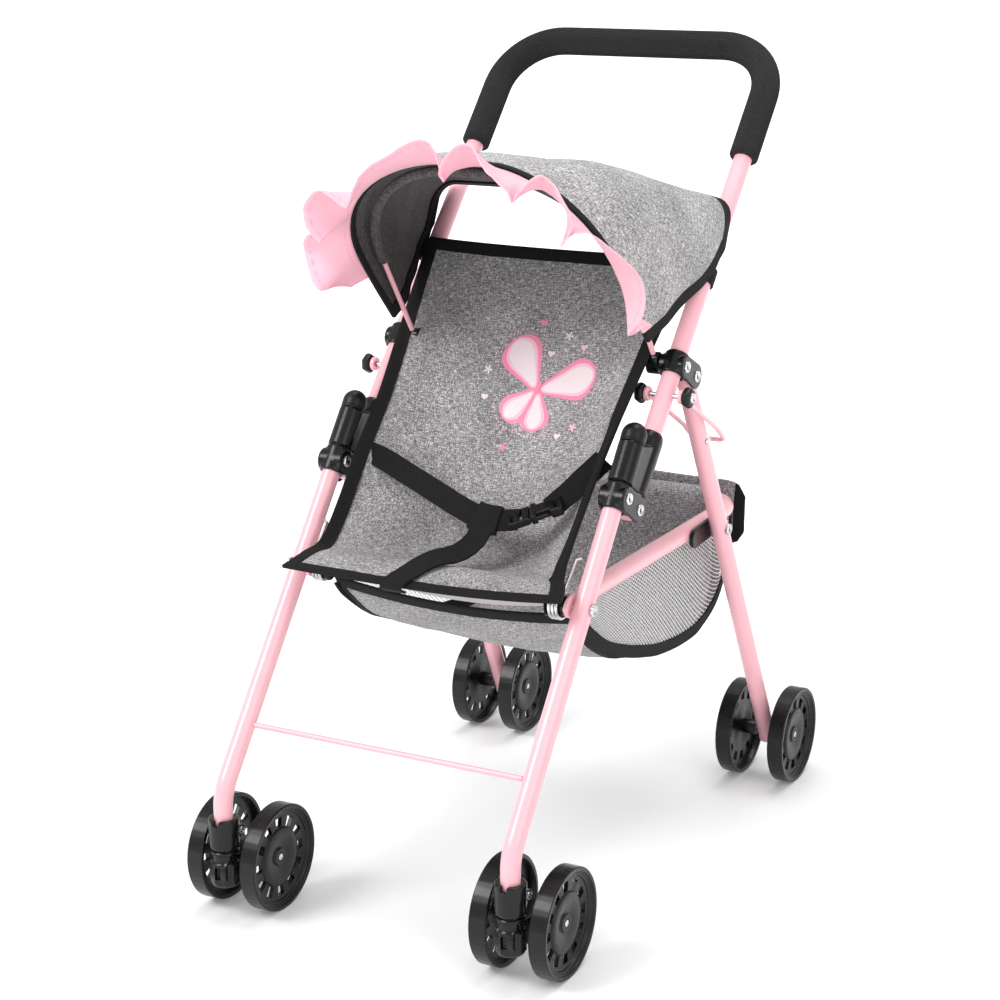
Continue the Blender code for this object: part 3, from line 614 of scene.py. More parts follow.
def edge_tape(name, lines, width, thick):
    """Tape folded over a cloth's edge. Each of lines holds the cloth's points from one place on the edge in."""
    rows = []
    lines = [np.array([tuple(p) for p in line]) for line in lines]
    for i, line in enumerate(lines):
        run = lines[min(i + 1, len(lines) - 1)][0] - lines[max(i - 1, 0)][0]
        run = run / np.linalg.norm(run)
        reach = line - line[0]
        far = np.maximum.accumulate(np.linalg.norm(reach - np.outer(reach @ run, run), axis=1))
        spots = [Vector([float(np.interp(width * share, far, line[:, k])) for k in range(3)]) for share in (0,
                0.33, 0.66, 1)]
        rows.append(spots)
    rings = []
    for i, spots in enumerate(rows):
        ahead = rows[min(i + 1, len(rows) - 1)][0] - rows[max(i - 1, 0)][0]
        inner = (spots[1] - spots[0]).normalized()
        up = ahead.cross(inner).normalized() * thick
        ring = [p + up for p in reversed(spots)] + [spots[0] - inner * 0.0010 + up * 0.6,
                                                    spots[0] - inner * 0.0010 - up * 0.6]
        rings.append(ring + [p - up for p in spots])
    made = loft(name, rings)
    made.data.set_sharp_from_angle(angle=math.radians(60))
    return made


def from_edge(grid, side, depth):
    """For each place along one side of a grid, the grid's points from that side in."""
    columns = list(zip(*grid))
    lines = {"first": columns, "last": [c[::-1] for c in columns], "left": grid,
             "right": [r[::-1] for r in grid]}
    return [line[:depth] for line in lines[side]]


def bound(prefix, grid, edges, thick, body, slot=None):
    """Tapes over a cloth's edges, given as name, side of the grid, points to follow it in by, and width."""
    tapes = []
    for word, side, depth, width in edges:
        tape = edge_tape(f"{prefix}_{word}", from_edge(grid, side, depth), width, thick)
        tapes.append(piece(tape, body, BINDING, slot=slot))
    return tapes


def ribbon(name, points, facing, width, thick, wobble=0.0, seed=0.0):
    """Flat webbing along points. facing is the way its broad side looks: one vector, or a list of them."""
    points = [Vector(p) for p in points]
    rings = []
    for i, point in enumerate(points):
        ahead = points[min(i + 1, len(points) - 1)] - points[max(i - 1, 0)]
        look = Vector(facing[i] if isinstance(facing, list) else facing).normalized()
        side = ahead.cross(look).normalized()
        look = side.cross(ahead).normalized()
        shift = wobble * noise.noise(Vector((i * 0.35, seed, 0.0)))
        half, deep = side * width / 2, look * thick / 2
        centre = point + look * shift
        ring = [centre - half * 0.97 - deep, centre + half * 0.97 - deep, centre + half - deep * 0.3]
        ring += [centre + half + deep * 0.3, centre + half * 0.97 + deep, centre - half * 0.97 + deep]
        ring += [centre - half + deep * 0.3, centre - half - deep * 0.3]
        rings.append(ring)
    made = loft(name, rings)
    made.data.set_sharp_from_angle(angle=math.radians(50))
    return made


# ---- Tubes and grip -----------------------------------------------------------------------------------------
def painted_frame():
    for tag, side in SIDES:
        x = side * HALF
        low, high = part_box(f"front_leg_{tag}")
        foot = Vector((x, SWIVEL_Y, low.z + 0.0003))
        bend = Vector((x, SWIVEL_Y, LEG_BEND_Z))
        leg = tube(f"leg_paint_{tag}", rounded([foot, bend, at_x(x, leg_point(0.2472))], 0.030, 16), TUBE_R)
        piece(leg, "front_frame", PINK, f"front_leg_{tag}", slot="pink_paint")
        top = Vector((x, TOP.x, TOP.y))
        axle = Vector((side * REAR_X, REAR_Y, WHEEL_R))
        down = (axle - top).normalized()
        path = evenly([top - 0.0052 * down, axle + 0.0078 * down], 9)
        leg = tube(f"rear_leg_paint_{tag}", path, TUBE_R, ends=0.0012)
        piece(leg, "rear_legs", PINK, f"rear_leg_{tag}", slot="pink_paint")
    low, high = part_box("footrest_bar")
    place = (low + high) / 2
    bar = tube("footrest_wire", evenly([(low.x, place.y, place.z), (high.x, place.y, place.z)], 9),
               0.0018, 16, (0, 1, 0))
    piece(bar, "front_frame", PINK, "footrest_bar", slot="pink_paint")
    across = Vector((0, math.cos(HANDLE_LEAN), -math.sin(HANDLE_LEAN)))
    whole = handle_path(HANDLE_LENGTH + 0.0055)
    piece(tube("handle_paint", whole, TUBE_R, across=across), "handle", PINK, "handle_tube",
          slot="pink_paint")
    grip_path = resample(handle_path(0.0945), 0.004)
    grip = tube("foam_grip", grip_path, 0.0101, 168, across, ribs=42, rib_depth=0.00055, ends=0.0016)
    piece(grip, "handle", FOAM, "handle_grip", slot="black_foam")


def resample(points, step):
    far = sum((b - a).length for a, b in zip(points, points[1:]))
    return [Vector(p) for p in evenly(points, max(2, round(far / step)))]


def handle_path(leg_length):
    top = handle_point(HANDLE_LENGTH)
    foot = handle_point(HANDLE_LENGTH - leg_length)
    corners = [at_x(-HALF, foot), at_x(-HALF, top), at_x(HALF, top), at_x(HALF, foot)]
    return rounded(corners, 0.043, 18)


def rail():
    """The level U. Each front end is pressed flat, its sides narrowing to an eye on the leg's inner face."""
    z = RAIL.y
    front = RAIL.x + 0.030
    path = rounded([(-RAIL_X, front, z), (-RAIL_X, CROSS_Y, z), (RAIL_X, CROSS_Y, z), (RAIL_X, front, z)],
                   0.028, 16)
    sides = 28
    flat = [(0.0, 0.0), (0.006, 0.15), (0.012, 0.6), (0.017, 0.9), (0.022, 1.0), (0.0300, 1.0)]
    eye_x, eye_r, eye_half_x = 0.0965, 0.0072, 0.0019

    def squared(side, x, y, half_x, half_z, power):
        """A ring that is round at power 1 and squarer below it."""
        ring = []
        for angle in circle(sides):
            c, s = math.cos(angle), math.sin(angle)
            ring.append(Vector((x + half_x * math.copysign(abs(c) ** power, c) * side, y,
                                z + half_z * math.copysign(abs(s) ** power, s))))
        return ring

    def pressed(side, back, share):
        """A ring that is round at share 0 and a 3.8 mm thick plate at share 1."""
        x = side * (RAIL_X + (eye_x - RAIL_X) * share)
        half_x = TUBE_R + (eye_half_x - TUBE_R) * share
        half_z = TUBE_R + (eye_r - TUBE_R) * share
        return squared(side, x, front - back, half_x, half_z, 1.0 - 0.45 * share)

    def nose(side, step):
        """Rings that close the eye in a half circle round the pivot."""
        reach = eye_r * math.sin(math.pi / 2 * step / 5)
        height = eye_r * math.cos(math.pi / 2 * step / 5)
        return squared(side, side * eye_x, RAIL.x - reach, eye_half_x, max(height, 0.0006), 0.55)

    left = [nose(-1, step) for step in range(5, 0, -1)]
    left += [pressed(-1, back, share) for back, share in reversed(flat)]
    middle = []
    for point, out, up, stretch in frames_along(path, (0, 0, 1))[1:-1]:
        ring = []
        for angle in circle(sides):
            ring.append(point - TUBE_R * math.cos(angle) * stretch * out + TUBE_R * math.sin(angle) * up)
        middle.append(ring)
    right = [pressed(1, back, share) for back, share in flat]
    right += [nose(1, step) for step in range(1, 6)]
    rings = left + align(middle, left[-1])
    rings += align(right, rings[-1])
    made = loft("rail_paint", rings)
    piece(made, "rail", PINK, "seat_rail", slot="pink_paint")


def align(rings, before):
    """Turns each ring's numbering so that its points follow the ring before it without a twist."""
    done = []
    for ring in rings:
        best = None
        for flip in (False, True):
            turned_ring = list(reversed(ring)) if flip else list(ring)
            for shift in range(len(ring)):
                moved = turned_ring[shift:] + turned_ring[:shift]
                miss = sum((a - b).length for a, b in zip(moved[::7], before[::7]))
                if best is None or miss < best[0]:
                    best = (miss, moved)
        done.append(best[1])
        before = best[1]
    return done


# ---- Wires -------------------------------------------------------------------------------------------------
def wires():
    for tag, side in SIDES:
        bail(tag, side)
        spring(tag, side)
    hood_hoop()


def bail(tag, side):
    """Wire loop hanging back from the handle's knob bolt, an eye at each end."""
    x = side * HALF
    drop = math.radians(29)
    run = Vector((math.cos(drop), -math.sin(drop)))
    side_view = [KNOB + 0.0036 * run, KNOB + 0.070 * run, KNOB + 0.088 * run + Vector((0, -0.003))]
    corners = [at_x(x - BAIL_HALF, place) for place in side_view]
    corners += [at_x(x + BAIL_HALF, place) for place in reversed(side_view)]
    square = (0, math.sin(drop), math.cos(drop))
    wire = tube(f"bail_wire_{tag}", rounded(corners, 0.006, 8), 0.0016, 14, square, ends=0.0005)
    piece(wire, f"bail_{tag}", PINK, f"wire_bail_{tag}", slot="pink_paint")
    for end in (-1, 1):
        ring = [(0.0021, -0.0014), (0.0046, -0.0014), (0.0050, 0), (0.0046, 0.0014), (0.0021, 0.0014)]
        eye = turned(f"bail_eye_{tag}_{end + 1}", ring, lateral(x + end * BAIL_HALF, KNOB), 28, True)
        piece(eye, f"bail_{tag}", PINK)


def hood_hoop():
    """The hood's front wire, and the lining's casing round its upper part, in the lining's cloth darkened with
    painted shade.
    """
    top = hoop_point(0.160)
    foot = hoop_point(0.0100)
    corners = [at_x(-HOOP_HALF, foot), at_x(-HOOP_HALF, top), at_x(HOOP_HALF, top), at_x(HOOP_HALF, foot)]
    plane = (0, math.cos(HOOP_LEAN), -math.sin(HOOP_LEAN))
    whole = rounded(corners, HOOP_CORNER_R, 18)
    piece(tube("hoop_wire", whole, 0.0018, 14, plane), "hoop", PINK, "canopy_hoop", slot="pink_paint")
    inside = [p for p in resample(whole, 0.004) if p.z > hoop_point(0.072).y]
    # The casing takes the lining's painted shade.
    piece(tube("hoop_casing", inside, 0.0034, 12, plane, ends=0.001), "hoop", PAINTED_SHADE_LINING)


def spring(tag, side):
    """Torsion spring on the rail's pivot: coils, a long arm up the leg and a short hook."""
    points = []
    turns, steps = 3.5, 110
    start_angle = math.radians(90) + LEG_LEAN
    for i in range(steps + 1):
        angle = start_angle - 2 * math.pi * turns * (1 - i / steps)
        points.append(Vector((side * (0.0838 + 0.0088 * i / steps), RAIL.x + 0.0082 * math.cos(angle),
                              RAIL.y + 0.0082 * math.sin(angle))))
    tip = leg_point(0.192, -0.0042)
    arm_start = points[-1]
    for share in (0.12, 0.4, 0.7, 1.0):
        points.append(arm_start.lerp(at_x(side * 0.0930, tip), share))
    hook = at_x(side * 0.0962, leg_point(0.1942, -0.0030))
    points.append(hook)
    made = tube(f"spring_wire_{tag}", points, 0.0011, 10, (1, 0, 0))
    piece(made, "front_frame", STEEL, f"torsion_spring_{tag}", slot="steel")
    spool = [(0, 0.0812), (0.0074, 0.0812), (0.0079, 0.0815), (0.0079, 0.0822), (0.0063, 0.0826),
             (0.0063, 0.0938), (0.0058, 0.0942), (0, 0.0942)]
    made = turned(f"spool_{tag}", [(r, side * h) for r, h in spool], lateral(0, RAIL), 40)
    piece(made, "front_frame", BLACK, f"spring_spool_{tag}", slot="black_plastic")


# ---- Rivets and bolts --------------------------------------------------------------------------------------
def rivet_head(name, place, x, direction, radius=0.0041):
    """A hollow rivet's rolled rim round a shallow dimple, facing direction along X."""
    r = radius
    profile = [(0, 0.0000), (r * 0.38, 0.0000), (r * 0.52, 0.0004), (r * 0.68, 0.0010), (r * 0.84, 0.0010)]
    profile += [(r * 0.97, 0.0005), (r, -0.0002), (r * 0.96, -0.0006), (0, -0.0006)]
    matrix = frame_matrix((x, place[0], place[1]), (direction, 0, 0))
    return turned(name, profile, matrix, 36)


def rivets():
    for tag, side in SIDES:
        x = side * HALF
        cheek = 0.0093
        spots = (
            ("fold", FOLD, "front_frame", f"fold_rivet_{tag}"),
            ("leg", leg_point(0.2390), "front_frame", None),
            ("top", TOP, "handle", f"leg_rivet_{tag}"),
            ("hood", HOOP, "handle", None),
        )
        for word, place, body, stands_for in spots:
            pin = turned(f"pin_{word}_{tag}", rod(0.0016, -cheek, cheek), lateral(x, place), 20)
            piece(pin, body, STEEL, *([stands_for] if stands_for else []), slot="steel")
            for direction in (-1, 1):
                if word == "hood" and direction == -side:
                    continue
                head = rivet_head(f"rivet_{word}_{tag}_{direction + 1}", place, x + direction * cheek,
                                  direction)
                piece(head, body, STEEL, slot="steel")
        bolt = rod(0.0020, -0.0108, 0.0075)
        made = turned(f"pivot_bolt_{tag}", [(r, side * h) for r, h in bolt], lateral(x, RAIL), 20)
        piece(made, "front_frame", STEEL, f"rail_pivot_{tag}", slot="steel")
        piece(rivet_head(f"pivot_head_{tag}", RAIL, x + side * 0.0073, side, 0.0043), "front_frame", STEEL)
        bolt_low, bolt_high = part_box(f"rail_bolt_{tag}")
        place = ((bolt_low.y + bolt_high.y) / 2, (bolt_low.z + bolt_high.z) / 2)
        leg_x = side * (HALF + (REAR_X - HALF) * (TOP.y - place[1]) / (TOP.y - WHEEL_R))
        shank = turned(f"rail_bolt_shank_{tag}", [(r, side * h) for r, h in rod(0.0020, -0.0056, 0.0070)],
                       lateral(leg_x, place), 20)
        piece(shank, "rear_legs", STEEL, f"rail_bolt_{tag}", slot="steel")
        piece(rivet_head(f"rail_bolt_head_{tag}", place, leg_x + side * 0.0070, side), "rear_legs", STEEL)
        z = 0.2885
        share = (TOP.y - z) / (TOP.y - WHEEL_R)
        y = TOP.x + (REAR_Y - TOP.x) * share
        screw_x = side * (HALF + (REAR_X - HALF) * share + 0.0060)
        head = turned(f"leg_screw_{tag}",
                      [(0, 0.0018), (0.0013, 0.0019), (0.0026, 0.0014), (0.0031, 0.0004), (0.0031, 0)],
                      frame_matrix((screw_x, y, z), (side, 0, 0)), 28)
        piece(head, "rear_legs", STEEL, slot="steel")


# ---- Moulded joints of the frame ---------------------------------------------------------------------------
def hinge_block(name, tag, side, point, lean, span, pivot, body, stands_for):
    x = side * HALF
    up = (0, math.sin(lean), math.cos(lean))
    length = span[1] - span[0]
    origin = at_x(x, point(span[0]))
    collar = turned("collar", rod(0.0085, 0, length, 0.0006), frame_matrix(origin, up), 64)
    middle = point((span[0] + span[1]) / 2)
    cheeks = prism("cheeks", capsule(middle, pivot, length * 0.44, 0.0086), x - 0.0091, x + 0.0091)
    front = prism("front", capsule(middle, middle + (pivot - middle) * 0.4, length * 0.46, 0.0080),
                  x - 0.0088, x + 0.0088)
    bore = turned("bore", rod(BORE_R, -0.01, length + 0.01), frame_matrix(origin, up), 48)
    behind = Vector((math.cos(lean), -math.sin(lean)))
    rise = Vector((math.sin(lean), math.cos(lean)))
    near = pivot - 0.0108 * behind
    far = pivot + 0.020 * behind
    slot_outline = [near - 0.03 * rise, far - 0.03 * rise, far + 0.03 * rise, near + 0.03 * rise]
    gap = prism("gap", [tuple(p) for p in slot_outline], x - 0.0068, x + 0.0068)
    made = fused(f"{name}_{tag}", [collar, cheeks, front], [bore, gap])
    piece(made, body, BLACK, f"{stands_for}_{tag}", slot="black_plastic")


def sleeve(tag, side):
    x = side * HALF
    leg_up = (0, math.sin(LEG_LEAN), math.cos(LEG_LEAN))
    handle_up = (0, math.sin(HANDLE_LEAN), math.cos(HANDLE_LEAN))
    low, high = 0.2486, 0.2765
    lobe = turned("lobe", rod(0.0085, 0, high - low, 0.0004), frame_matrix(at_x(x, leg_point(low)), leg_up),
                  64)
    start, end = 0.0105, 0.0555
    rear_profile = [(0, 0), (0.0086, 0), (0.0090, 0.0005), (0.0090, end - start - 0.0055)]
    rear_profile += [(0.0084, end - start - 0.0022), (0.0074, end - start - 0.0004), (0.0070, end - start),
                     (0, end - start)]
    rear = turned("rear", rear_profile, frame_matrix(at_x(x, handle_point(start)), handle_up), 64)
    web = [leg_point(low), handle_point(start), handle_point(0.0470), leg_point(high, 0.002)]
    web = prism("web", [tuple(p) for p in web], x - 0.0070, x + 0.0070)
    bore = turned("bore", rod(BORE_R, -0.02, end), frame_matrix(at_x(x, handle_point(start)), handle_up), 48)
    made = fused(f"sleeve_{tag}", [lobe, rear, web], [bore])
    piece(made, f"sleeve_{tag}", BLACK, f"lock_sleeve_{tag}", slot="black_plastic")
    dome = [(0, 0), (0.0080, 0), (0.0083, 0.0003), (0.0083, 0.0010), (0.0079, 0.0014), (0.0084, 0.0019),
            (0.0085, 0.0060)]
    for step in range(1, 11):
        angle = math.pi / 2 * step / 10
        dome.append((0.0085 * math.cos(angle) if step < 10 else 0, 0.0060 + 0.0085 * math.sin(angle)))
    cap = turned(f"dome_{tag}", dome, frame_matrix(at_x(x, leg_point(high + 0.0003)), leg_up), 56)
    piece(cap, f"sleeve_{tag}", KNOB_BLACK, f"lock_cap_{tag}", slot="black_plastic")


def knobs(tag, side):
    x = side * HALF
    shaft = turned(f"bolt_shaft_{tag}", rod(0.0016, -0.0150, 0.0150), lateral(x, KNOB), 20)
    piece(shaft, "handle", STEEL, f"knob_bolt_{tag}", slot="steel")
    for end in (-1, 1):
        low, high = 0.0140, 0.0200
        profile = [(0, low), (0.0058, low), (0.0068, low + 0.0008), (0.0074, (low + high) / 2)]
        profile += [(0.0068, high - 0.0008), (0.0058, high), (0, high)]
        shape = turned("knob", [(r, end * h) for r, h in profile], lateral(x, KNOB), 6)
        bevel = shape.modifiers.new("edges", "BEVEL")
        bevel.width = 0.0006
        bevel.segments = 3
        only(shape)
        shape.name = f"hex_knob_{tag}_{end + 1}"
        shape.data.shade_smooth()
        shape.data.set_sharp_from_angle(angle=math.radians(40))
        piece(shape, "handle", KNOB_BLACK)
        piece(rivet_head(f"knob_screw_{tag}_{end + 1}", KNOB, x + end * 0.0201, end, 0.0036), "handle", STEEL)


def hoop_sockets(tag, side):
    inner, outer = sorted((side * 0.0874, side * 0.0960))
    disc = prism("disc", capsule(HOOP, hoop_point(0.0045), 0.0068, 0.0052), inner, outer)
    made = fused(f"socket_{tag}", [disc], voxel=0.0005, rounds=4)
    piece(made, "hoop", BLACK, f"hoop_socket_{tag}", slot="black_plastic")


def spacer(tag, side):
    low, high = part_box(f"rail_spacer_{tag}")
    y_low, y_high, z = low.y + 0.0068, high.y - 0.0072, (low.z + high.z) / 2
    inner, outer = sorted((side * 0.0988, side * 0.1018))
    block = prism("block", capsule(Vector((y_low, z - 0.001)), Vector((y_high, z + 0.001)), 0.0068, 0.0072),
                  inner, outer)
    made = fused(f"spacer_{tag}", [block], voxel=0.0005, rounds=3)
    piece(made, "rail", BLACK, f"rail_spacer_{tag}", slot="black_plastic")


def joints_of_frame():
    for tag, side in SIDES:
        hinge_block("leg_hinge", tag, side, leg_point, LEG_LEAN, (0.2293, 0.2476), FOLD, "front_frame",
                    "leg_bracket")
        hinge_block("top_hinge", tag, side, handle_point, HANDLE_LEAN, (0.0998, 0.1162), TOP, "handle",
                    "top_clamp")
        sleeve(tag, side)
        knobs(tag, side)
        hoop_sockets(tag, side)
        spacer(tag, side)


# ---- Wheels and casters ------------------------------------------------------------------------------------
def wheel(name, outward_side):
    centre = JOINTS[name + "_roll"]["pos_m"]
    low, high = 0.0206, 0.0274
    profile = [
        (0.0024, -0.0134), (0.0048, -0.0136), (0.0052, -0.0130), (0.0054, -0.0022), (0.0064, -0.0014),
        (low, -0.0012),
        (high, -0.0012), (0.0322, -0.0014), (0.0328, -0.0052), (0.0334, -0.0060), (0.0354, -0.0060),
        (0.0360, -0.0054),
        (0.0360, -0.0030), (0.0360, 0.0030), (0.0360, 0.0053), (0.0354, 0.0060), (0.0336, 0.0060),
        (0.0330, 0.0056),
        (0.0327, 0.0046), (0.0318, 0.0042), (0.0314, 0.0034), (0.0304, 0.0031), (0.0300, 0.0022),
        (0.0288, 0.0018),
        (high, 0.0017), (low, 0.0017), (0.0203, 0.0018), (0.0199, 0.0026), (0.0194, 0.0030), (0.0150, 0.0030),
        (0.0095, 0.0020), (0.0066, 0.0014), (0.0060, 0.0018), (0.0056, 0.0026), (0.0036, 0.0028),
        (0.0024, 0.0022),
    ]
    ring_in, ring_out = 5, 24
    half_open = math.radians(7.6)
    pitch = math.radians(30)
    angles = []
    for k in range(12):
        centre_angle = k * pitch
        angles += [centre_angle - half_open + 2 * half_open * i / 3 for i in range(3)]
        angles += [centre_angle + half_open + (pitch - 2 * half_open) * i / 5 for i in range(5)]
    count = len(angles)
    verts = []
    for radius, height in profile:
        for angle in angles:
            verts.append((outward_side * height, radius * math.cos(angle), radius * math.sin(angle)))
    faces = []
    rings = len(profile)
    for i in range(rings):
        following = (i + 1) % rings
        for k in range(count):
            if i in (ring_in, ring_out) and k % 8 < 3:
                continue
            j = (k + 1) % count
            faces.append([i * count + k, i * count + j, following * count + j, following * count + k])
    for k in range(0, count, 8):
        a, b, c, d = ring_in, ring_in + 1, ring_out, ring_out + 1
        j = (k + 3) % count
        for edge in (k, j):
            faces.append([a * count + edge, b * count + edge, c * count + edge, d * count + edge])
        for step in range(3):
            m, n = k + step, (k + step + 1) % count
            faces.append([a * count + m, a * count + n, d * count + n, d * count + m])
            faces.append([b * count + m, b * count + n, c * count + n, c * count + m])
    made = outward(build("tyre_" + name, verts, faces))
    made.location = centre
    piece(made, name, WHEEL, name, slot="black_plastic")


def caster(tag, side):
    x = side * HALF
    up = Matrix.Translation((x, SWIVEL_Y, 0))
    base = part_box(f"caster_collar_{tag}")[0].z
    top = 0.0712
    cup = [(0, base), (0.0088, base), (0.0098, base + 0.0010), (0.0100, base + 0.0030),
           (0.0102, top - 0.0008), (0.0095, top), (0, top)]
    collar = turned("cup", cup, up, 64)
    ear_x = (x + 0.0020, x + 0.0092)
    ear = prism("ear",
                capsule(Vector((SWIVEL_Y, 0.0612)), Vector((SWIVEL_Y + 0.0082, 0.0612)), 0.0048, 0.0034),
                *ear_x)
    bore = turned("bore", rod(BORE_R, base + 0.006, 0.09), up, 48)
    notch = prism("notch",
                  [(SWIVEL_Y - 0.02, 0.0672), (SWIVEL_Y + 0.02, 0.0672), (SWIVEL_Y + 0.02, 0.08),
                   (SWIVEL_Y - 0.02, 0.08)],
                  x - 0.0020, x + 0.0020)
    made = fused(f"cup_{tag}", [collar, ear], [bore, notch])
    piece(made, "front_frame", BLACK, f"caster_collar_{tag}", slot="black_plastic")
    screw = frame_matrix((x + 0.0090, SWIVEL_Y + 0.0066, 0.0612), (1, 0, 0))
    head = turned(f"cup_screw_{tag}",
                  [(0, 0.0012), (0.0009, 0.0006), (0.0018, 0.0014), (0.0026, 0.0010), (0.0028, 0.0)], screw,
                  28)
    piece(head, "front_frame", STEEL, slot="steel")
    ring = turned(f"swivel_ring_{tag}",
                  [(0, 0.0468), (0.0090, 0.0468), (0.0094, 0.0472), (0.0094, 0.0484), (0.0088, 0.0490),
                   (0, 0.0490)], up, 56)
    piece(ring, f"caster_{tag}", BLACK)
    body = turned("body",
                  [(0, 0.0245), (0.0084, 0.0245), (0.0093, 0.0258), (0.0093, 0.0404), (0.0080, 0.0414),
                   (0.0076, 0.0448),
                           (0.0076, 0.0496), (0, 0.0496)], up, 64)
    axle = Vector((FRONT_AXLE_Y, WHEEL_R))
    arm = prism("arm", capsule(Vector((SWIVEL_Y, WHEEL_R - 0.001)), axle, 0.0095, 0.0064), x - 0.0064,
                x + 0.0064)
    hub = turned("hub", rod(0.0062, -0.0069, 0.0069, 0.0004), lateral(x, axle), 40)
    adds = [body, arm, hub]
    for turn in (-60, -100, -140, -20, 20):
        angle = math.radians(turn)
        place = Vector((x + 0.0092 * math.cos(angle), SWIVEL_Y + 0.0092 * math.sin(angle), 0))
        adds.append(turned("rib", [(0, 0.0262), (0.0009, 0.0266), (0.0009, 0.0395), (0, 0.0402)],
                           Matrix.Translation(place), 10))
    bore = turned("bore", rod(0.0023, -0.02, 0.02), lateral(x, axle), 24)
    slot_cut = prism("slot",
                     [(SWIVEL_Y - 0.02, 0.0300), (SWIVEL_Y - 0.0066, 0.0300), (SWIVEL_Y - 0.0066, 0.0385),
                      (SWIVEL_Y - 0.02, 0.0385)],
                     x - 0.0019, x + 0.0019)
    made = fused(f"fork_{tag}", adds, [bore, slot_cut], voxel=0.0005, rounds=2)
    piece(made, f"caster_{tag}", BLACK, f"caster_fork_{tag}", slot="black_plastic")


def axles():
    for tag, side in SIDES:
        for end, x, y, body in (("front", side * HALF, FRONT_AXLE_Y, f"caster_{tag}"),
                                ("rear", side * REAR_X, REAR_Y, "rear_legs")):
            reach = 0.0234
            half = [(0, reach + 0.0004), (0.0011, reach + 0.0005), (0.0020, reach + 0.0003), (0.0023, reach),
                    (0.0020, reach)]
            profile = [(r, -h) for r, h in half] + [(r, h) for r, h in reversed(half)]
            made = turned(f"axle_pin_{end}_{tag}", profile, lateral(x, (y, WHEEL_R)), 28)
            piece(made, body, STEEL, f"{end}_axle_{tag}", slot="steel")


def running_gear():
    for tag, side in SIDES:
        caster(tag, side)
        for end in ("front", "rear"):
            wheel(f"{end}_wheel_{tag}_outer", side)
            wheel(f"{end}_wheel_{tag}_inner", -side)
    axles()


# ---- Seat --------------------------------------------------------------------------------------------------
SEAT_BLEND = ("front_frame", "handle", at_x(0, FOLD), (0, 0.024, 0.372))
SEAT_KNOTS = (
    # y, z at the side, y, z in the middle, half width, shift to the near side, from the top edge down
    (0.0630, 0.4120, 0.0605, 0.4105, 0.1000, -0.0060),
    (0.0360, 0.3790, 0.0385, 0.3750, 0.0985, -0.0065),
    (0.0050, 0.3500, 0.0150, 0.3390, 0.0950, -0.0050),
    (-0.0300, 0.3170, -0.0090, 0.3005, 0.0912, -0.0032),
    (-0.0620, 0.2870, -0.0330, 0.2640, 0.0900, -0.0025),
    (-0.0920, 0.2585, -0.0600, 0.2370, 0.0885, 0.0000),
    (-0.1180, 0.2370, -0.0980, 0.2265, 0.0890, 0.0025),
    (-0.1340, 0.2315, -0.1270, 0.2335, 0.0940, 0.0035),
    (-0.1530, 0.2265, -0.1545, 0.2262, 0.0985, 0.0040),
)
SEAT_ROWS = smooth_path(SEAT_KNOTS, 121)


def seat_point(across, down, lift=0.0):
    """A place on the seat: across from -1 to 1, down from 0 at the top edge to 1 at the front edge."""
    def plain(a, d):
        f = min(max(d, 0.0), 1.0) * (len(SEAT_ROWS) - 1)
        i = min(int(f), len(SEAT_ROWS) - 2)
        row = [float(v) for v in SEAT_ROWS[i] * (1 - (f - i)) + SEAT_ROWS[i + 1] * (f - i)]
        sag = 1 - abs(a) ** 2.3
        y = row[0] + (row[2] - row[0]) * sag
        z = row[1] + (row[3] - row[1]) * sag
        near = max(a, 0.0) ** 2 * max(0.0, (d - 0.8) / 0.2)
        place = Vector((row[4] * a + row[5], y + 0.011 * near, z + 0.0015 * near))
        inside = min(1.0, 4 * (1 - abs(a))) * min(1.0, 14 * d, 14 * (1 - d))
        soft = noise.noise(Vector((a * 2.6, d * 5.0, 3.0))) * 0.0028
        soft += noise.noise(Vector((a * 6.0 + d * 5, d * 11.0 - a * 3, 7.0))) * 0.0012
        pull = math.exp(-((d - 0.52) / 0.13) ** 2) * abs(a) ** 1.5
        soft += 0.0013 * pull * math.sin(a * 16 + d * 46)
        crease = math.exp(-((d - 0.80) / 0.07) ** 2)
        soft += 0.0028 * crease * math.sin(a * 7.5 + 1.1) - 0.0022 * crease
        return place + Vector((0, -0.75, 0.66)) * soft * inside
    here = plain(across, down)
    if not lift:
        return here
    step = 0.004
    du = plain(min(across + step, 1), down) - plain(max(across - step, -1), down)
    dv = plain(across, min(down + step, 1)) - plain(across, max(down - step, 0))
    return here + dv.cross(du).normalized() * lift


def seat():
    grid = [[seat_point(-1 + 2 * i / 60, j / 110) for i in range(61)] for j in range(111)]
    made = cloth("seat_cloth", grid)
    thicken(made, 0.0012)
    only(made)
    piece(made, SEAT_BLEND, CLOTH, "seat_sling", slot="grey_fabric")
    edges = (("top", "first", 8, 0.0085), ("front", "last", 8, 0.0060),
             ("left", "left", 8, 0.0085), ("right", "right", 8, 0.0085))
    trims = bound("seat_binding", grid, edges, 0.0013, SEAT_BLEND, "black_webbing")
    trims += [stitches("seat_stitch_left", -1), stitches("seat_stitch_right", 1)]


def stitches(name, side):
    """A row of stitches along the inner edge of the binding on that side, 7 mm in."""
    verts, faces = [], []
    count = 140
    across = side * (1 - 0.0070 / 0.095)
    for k in range(count):
        for share in (0.2, 0.7):
            for half_width in (-0.0022, 0.0022):
                verts.append(seat_point(across + half_width, (k + share) / count, 0.0023))
        base = len(verts) - 4
        faces.append([base, base + 1, base + 3, base + 2])
    made = build(name, verts, faces)
    return piece(made, SEAT_BLEND, DARK_THREAD)


# ---- Printed butterfly -------------------------------------------------------------------------------------
PRINT_AT = (0.16, 0.345)
PRINT_TURN = math.radians(-18)


